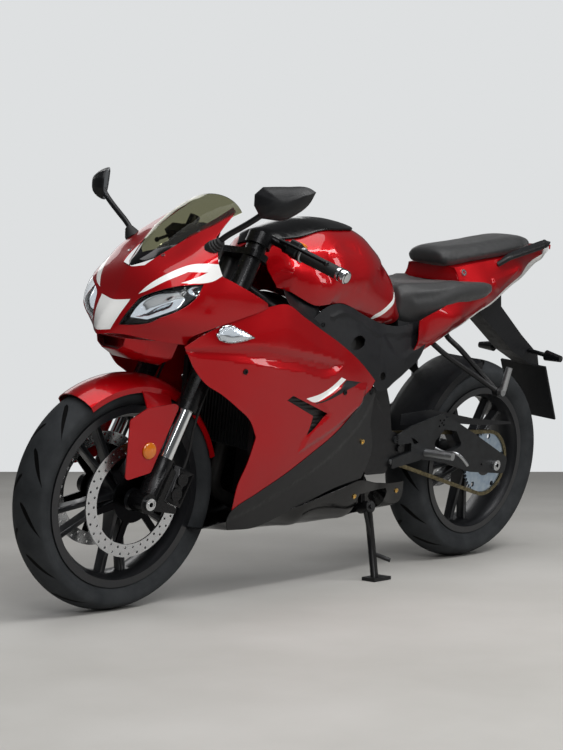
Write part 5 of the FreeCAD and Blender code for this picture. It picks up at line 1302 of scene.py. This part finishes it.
# ---- Screws -----------------------------------------------------------------------------
# Socket heads set by one node group: black in the lacquered panels, yellow in the belly,
# bright in the screen and the rearsets.
def screw_group():
    """Node group that sets a socket head screw at each place, along its facing."""
    tree = bpy.data.node_groups.new("screws", "GeometryNodeTree")
    for name, kind in (("Places", "Geometry"), ("Radius", "Float"), ("Height", "Float"),
                       ("Metal", "Material")):
        tree.interface.new_socket(name, in_out="INPUT", socket_type="NodeSocket" + kind)
    tree.interface.new_socket("Screws", in_out="OUTPUT", socket_type="NodeSocketGeometry")
    given = add(tree, "NodeGroupInput").outputs
    head = add(tree, "GeometryNodeMeshCylinder", {
        "Vertices": 26, "Radius": given["Radius"], "Depth": given["Height"]})
    key = add(tree, "GeometryNodeMeshCylinder", {
        "Vertices": 6, "Radius": sums(tree, "MULTIPLY", given["Radius"], 0.5),
        "Depth": given["Height"]})
    half = sums(tree, "MULTIPLY", given["Height"], 0.5)
    lifted = add(tree, "GeometryNodeTransform", {
        "Geometry": key.outputs["Mesh"],
        "Translation": add(tree, "ShaderNodeCombineXYZ", {2: half}).outputs[0]})
    cut = add(tree, "GeometryNodeMeshBoolean", {
        0: head.outputs["Mesh"], 1: lifted.outputs[0]}, operation="DIFFERENCE")
    facing = add(tree, "GeometryNodeInputNamedAttribute", {"Name": "facing"},
                 data_type="FLOAT_VECTOR")
    turn = add(tree, "FunctionNodeAlignRotationToVector", {
        "Vector": facing.outputs["Attribute"]}, axis="Z")
    put = add(tree, "GeometryNodeInstanceOnPoints", {
        "Points": given["Places"], "Instance": cut.outputs[0], "Rotation": turn.outputs[0]})
    real = add(tree, "GeometryNodeRealizeInstances", {0: put.outputs[0]})
    done = add(tree, "GeometryNodeSetMaterial", {
        "Geometry": real.outputs[0], "Material": given["Metal"]})
    add(tree, "NodeGroupOutput", {0: done.outputs[0]})
    return tree


screws = screw_group()


def fixings(name, spots, radius_mm, height_mm, metal, node):
    """Screws at pairs of a place and a direction."""
    mesh = bpy.data.meshes.new(name)
    mesh.from_pydata([at for at, way in spots], [], [])
    facing = mesh.attributes.new("facing", "FLOAT_VECTOR", "POINT")
    facing.data.foreach_set("vector", [c for at, way in spots for c in way])
    made = make_object(name, mesh)
    setter = made.modifiers.new("screws", "NODES")
    setter.node_group = screws
    sockets = {s.name: s.identifier for s in screws.interface.items_tree
               if s.in_out == "INPUT"}
    setter[sockets["Radius"]] = radius_mm * MM
    setter[sockets["Height"]] = height_mm * MM
    setter[sockets["Metal"]] = metal
    made.update_tag()
    made.data = as_mesh(made)
    made.modifiers.clear()
    hand_over(made, metal, node, new=True)


def lie_on(form, u, v):
    """Places and outward directions on the left and right of a form."""
    found = []
    for side in (1, -1):
        at, along, over = (bike(x, side * y, z) for x, y, z in formed(
            form, [(u, v), (u + 1.0, v), (u, v + 1.0)]))
        way = (along - at).cross(over - at).normalized()
        found.append((at, way if way.dot(LEFT) * side > 0 else -way))
    return found


fixings("fairing_screws", lie_on(flank, 1181, 628) + lie_on(flank, 797, 566), 7, 5,
        anodised, "side_fairing_left")
fixings("belly_screws", lie_on(flank, 664, 420) + lie_on(tray, 430, 96)
        + lie_on(tray, 650, 112), 7, 5, brass, "belly_pan")
fixings("cover_screws", lie_on(frame_cover, 876, 742) + lie_on(frame_cover, 668, 560), 7, 4,
        anodised, "frame_covers")
fixings("seat_lock", lie_on(tail_side, 224, 892)[:1], 10, 8, chrome, "tail_cowl")
fixings("screen_screws", lie_on(nose, 45, 893) + lie_on(nose, 81, 958), 5, 4, chrome,
        "nose_cowl")
fixings("rearset_screws", [(bike(x, side * 141, z), LEFT * side)
                           for x, z in ((488, 414), (508, 351)) for side in (1, -1)],
        8, 8, bare_alloy, "rearsets")

# ---- Shift lever and stand spring -------------------------------------------------------
# A polished lever beyond the left footpeg, and the stand's return spring in its sleeve.
lever = pipe("shift_lever", [bike(328, 150, 384), bike(320, 176, 374), bike(324, 222, 386),
                             bike(300, 235, 366), bike(279, 235, 347)], 4.5)
hand_over(lever, bare_alloy, "footpegs", new=True)
spring = pipe("stand_spring", [bike(592, 136, 214), bike(583, 142, 180),
                               bike(573, 148, 146)], 5.5)
hand_over(spring, satin_black, "side_stand", new=True)

# ---- Scoop, fender, hugger, plate holder and instruments --------------------------------
# The chin scoop and the front fender are lacquered; the rest is grained black ABS.
carry(candy, "chin_scoop", "front_fender")
carry(abs_black, "rear_hugger", "plate_holder", "instrument_panel")
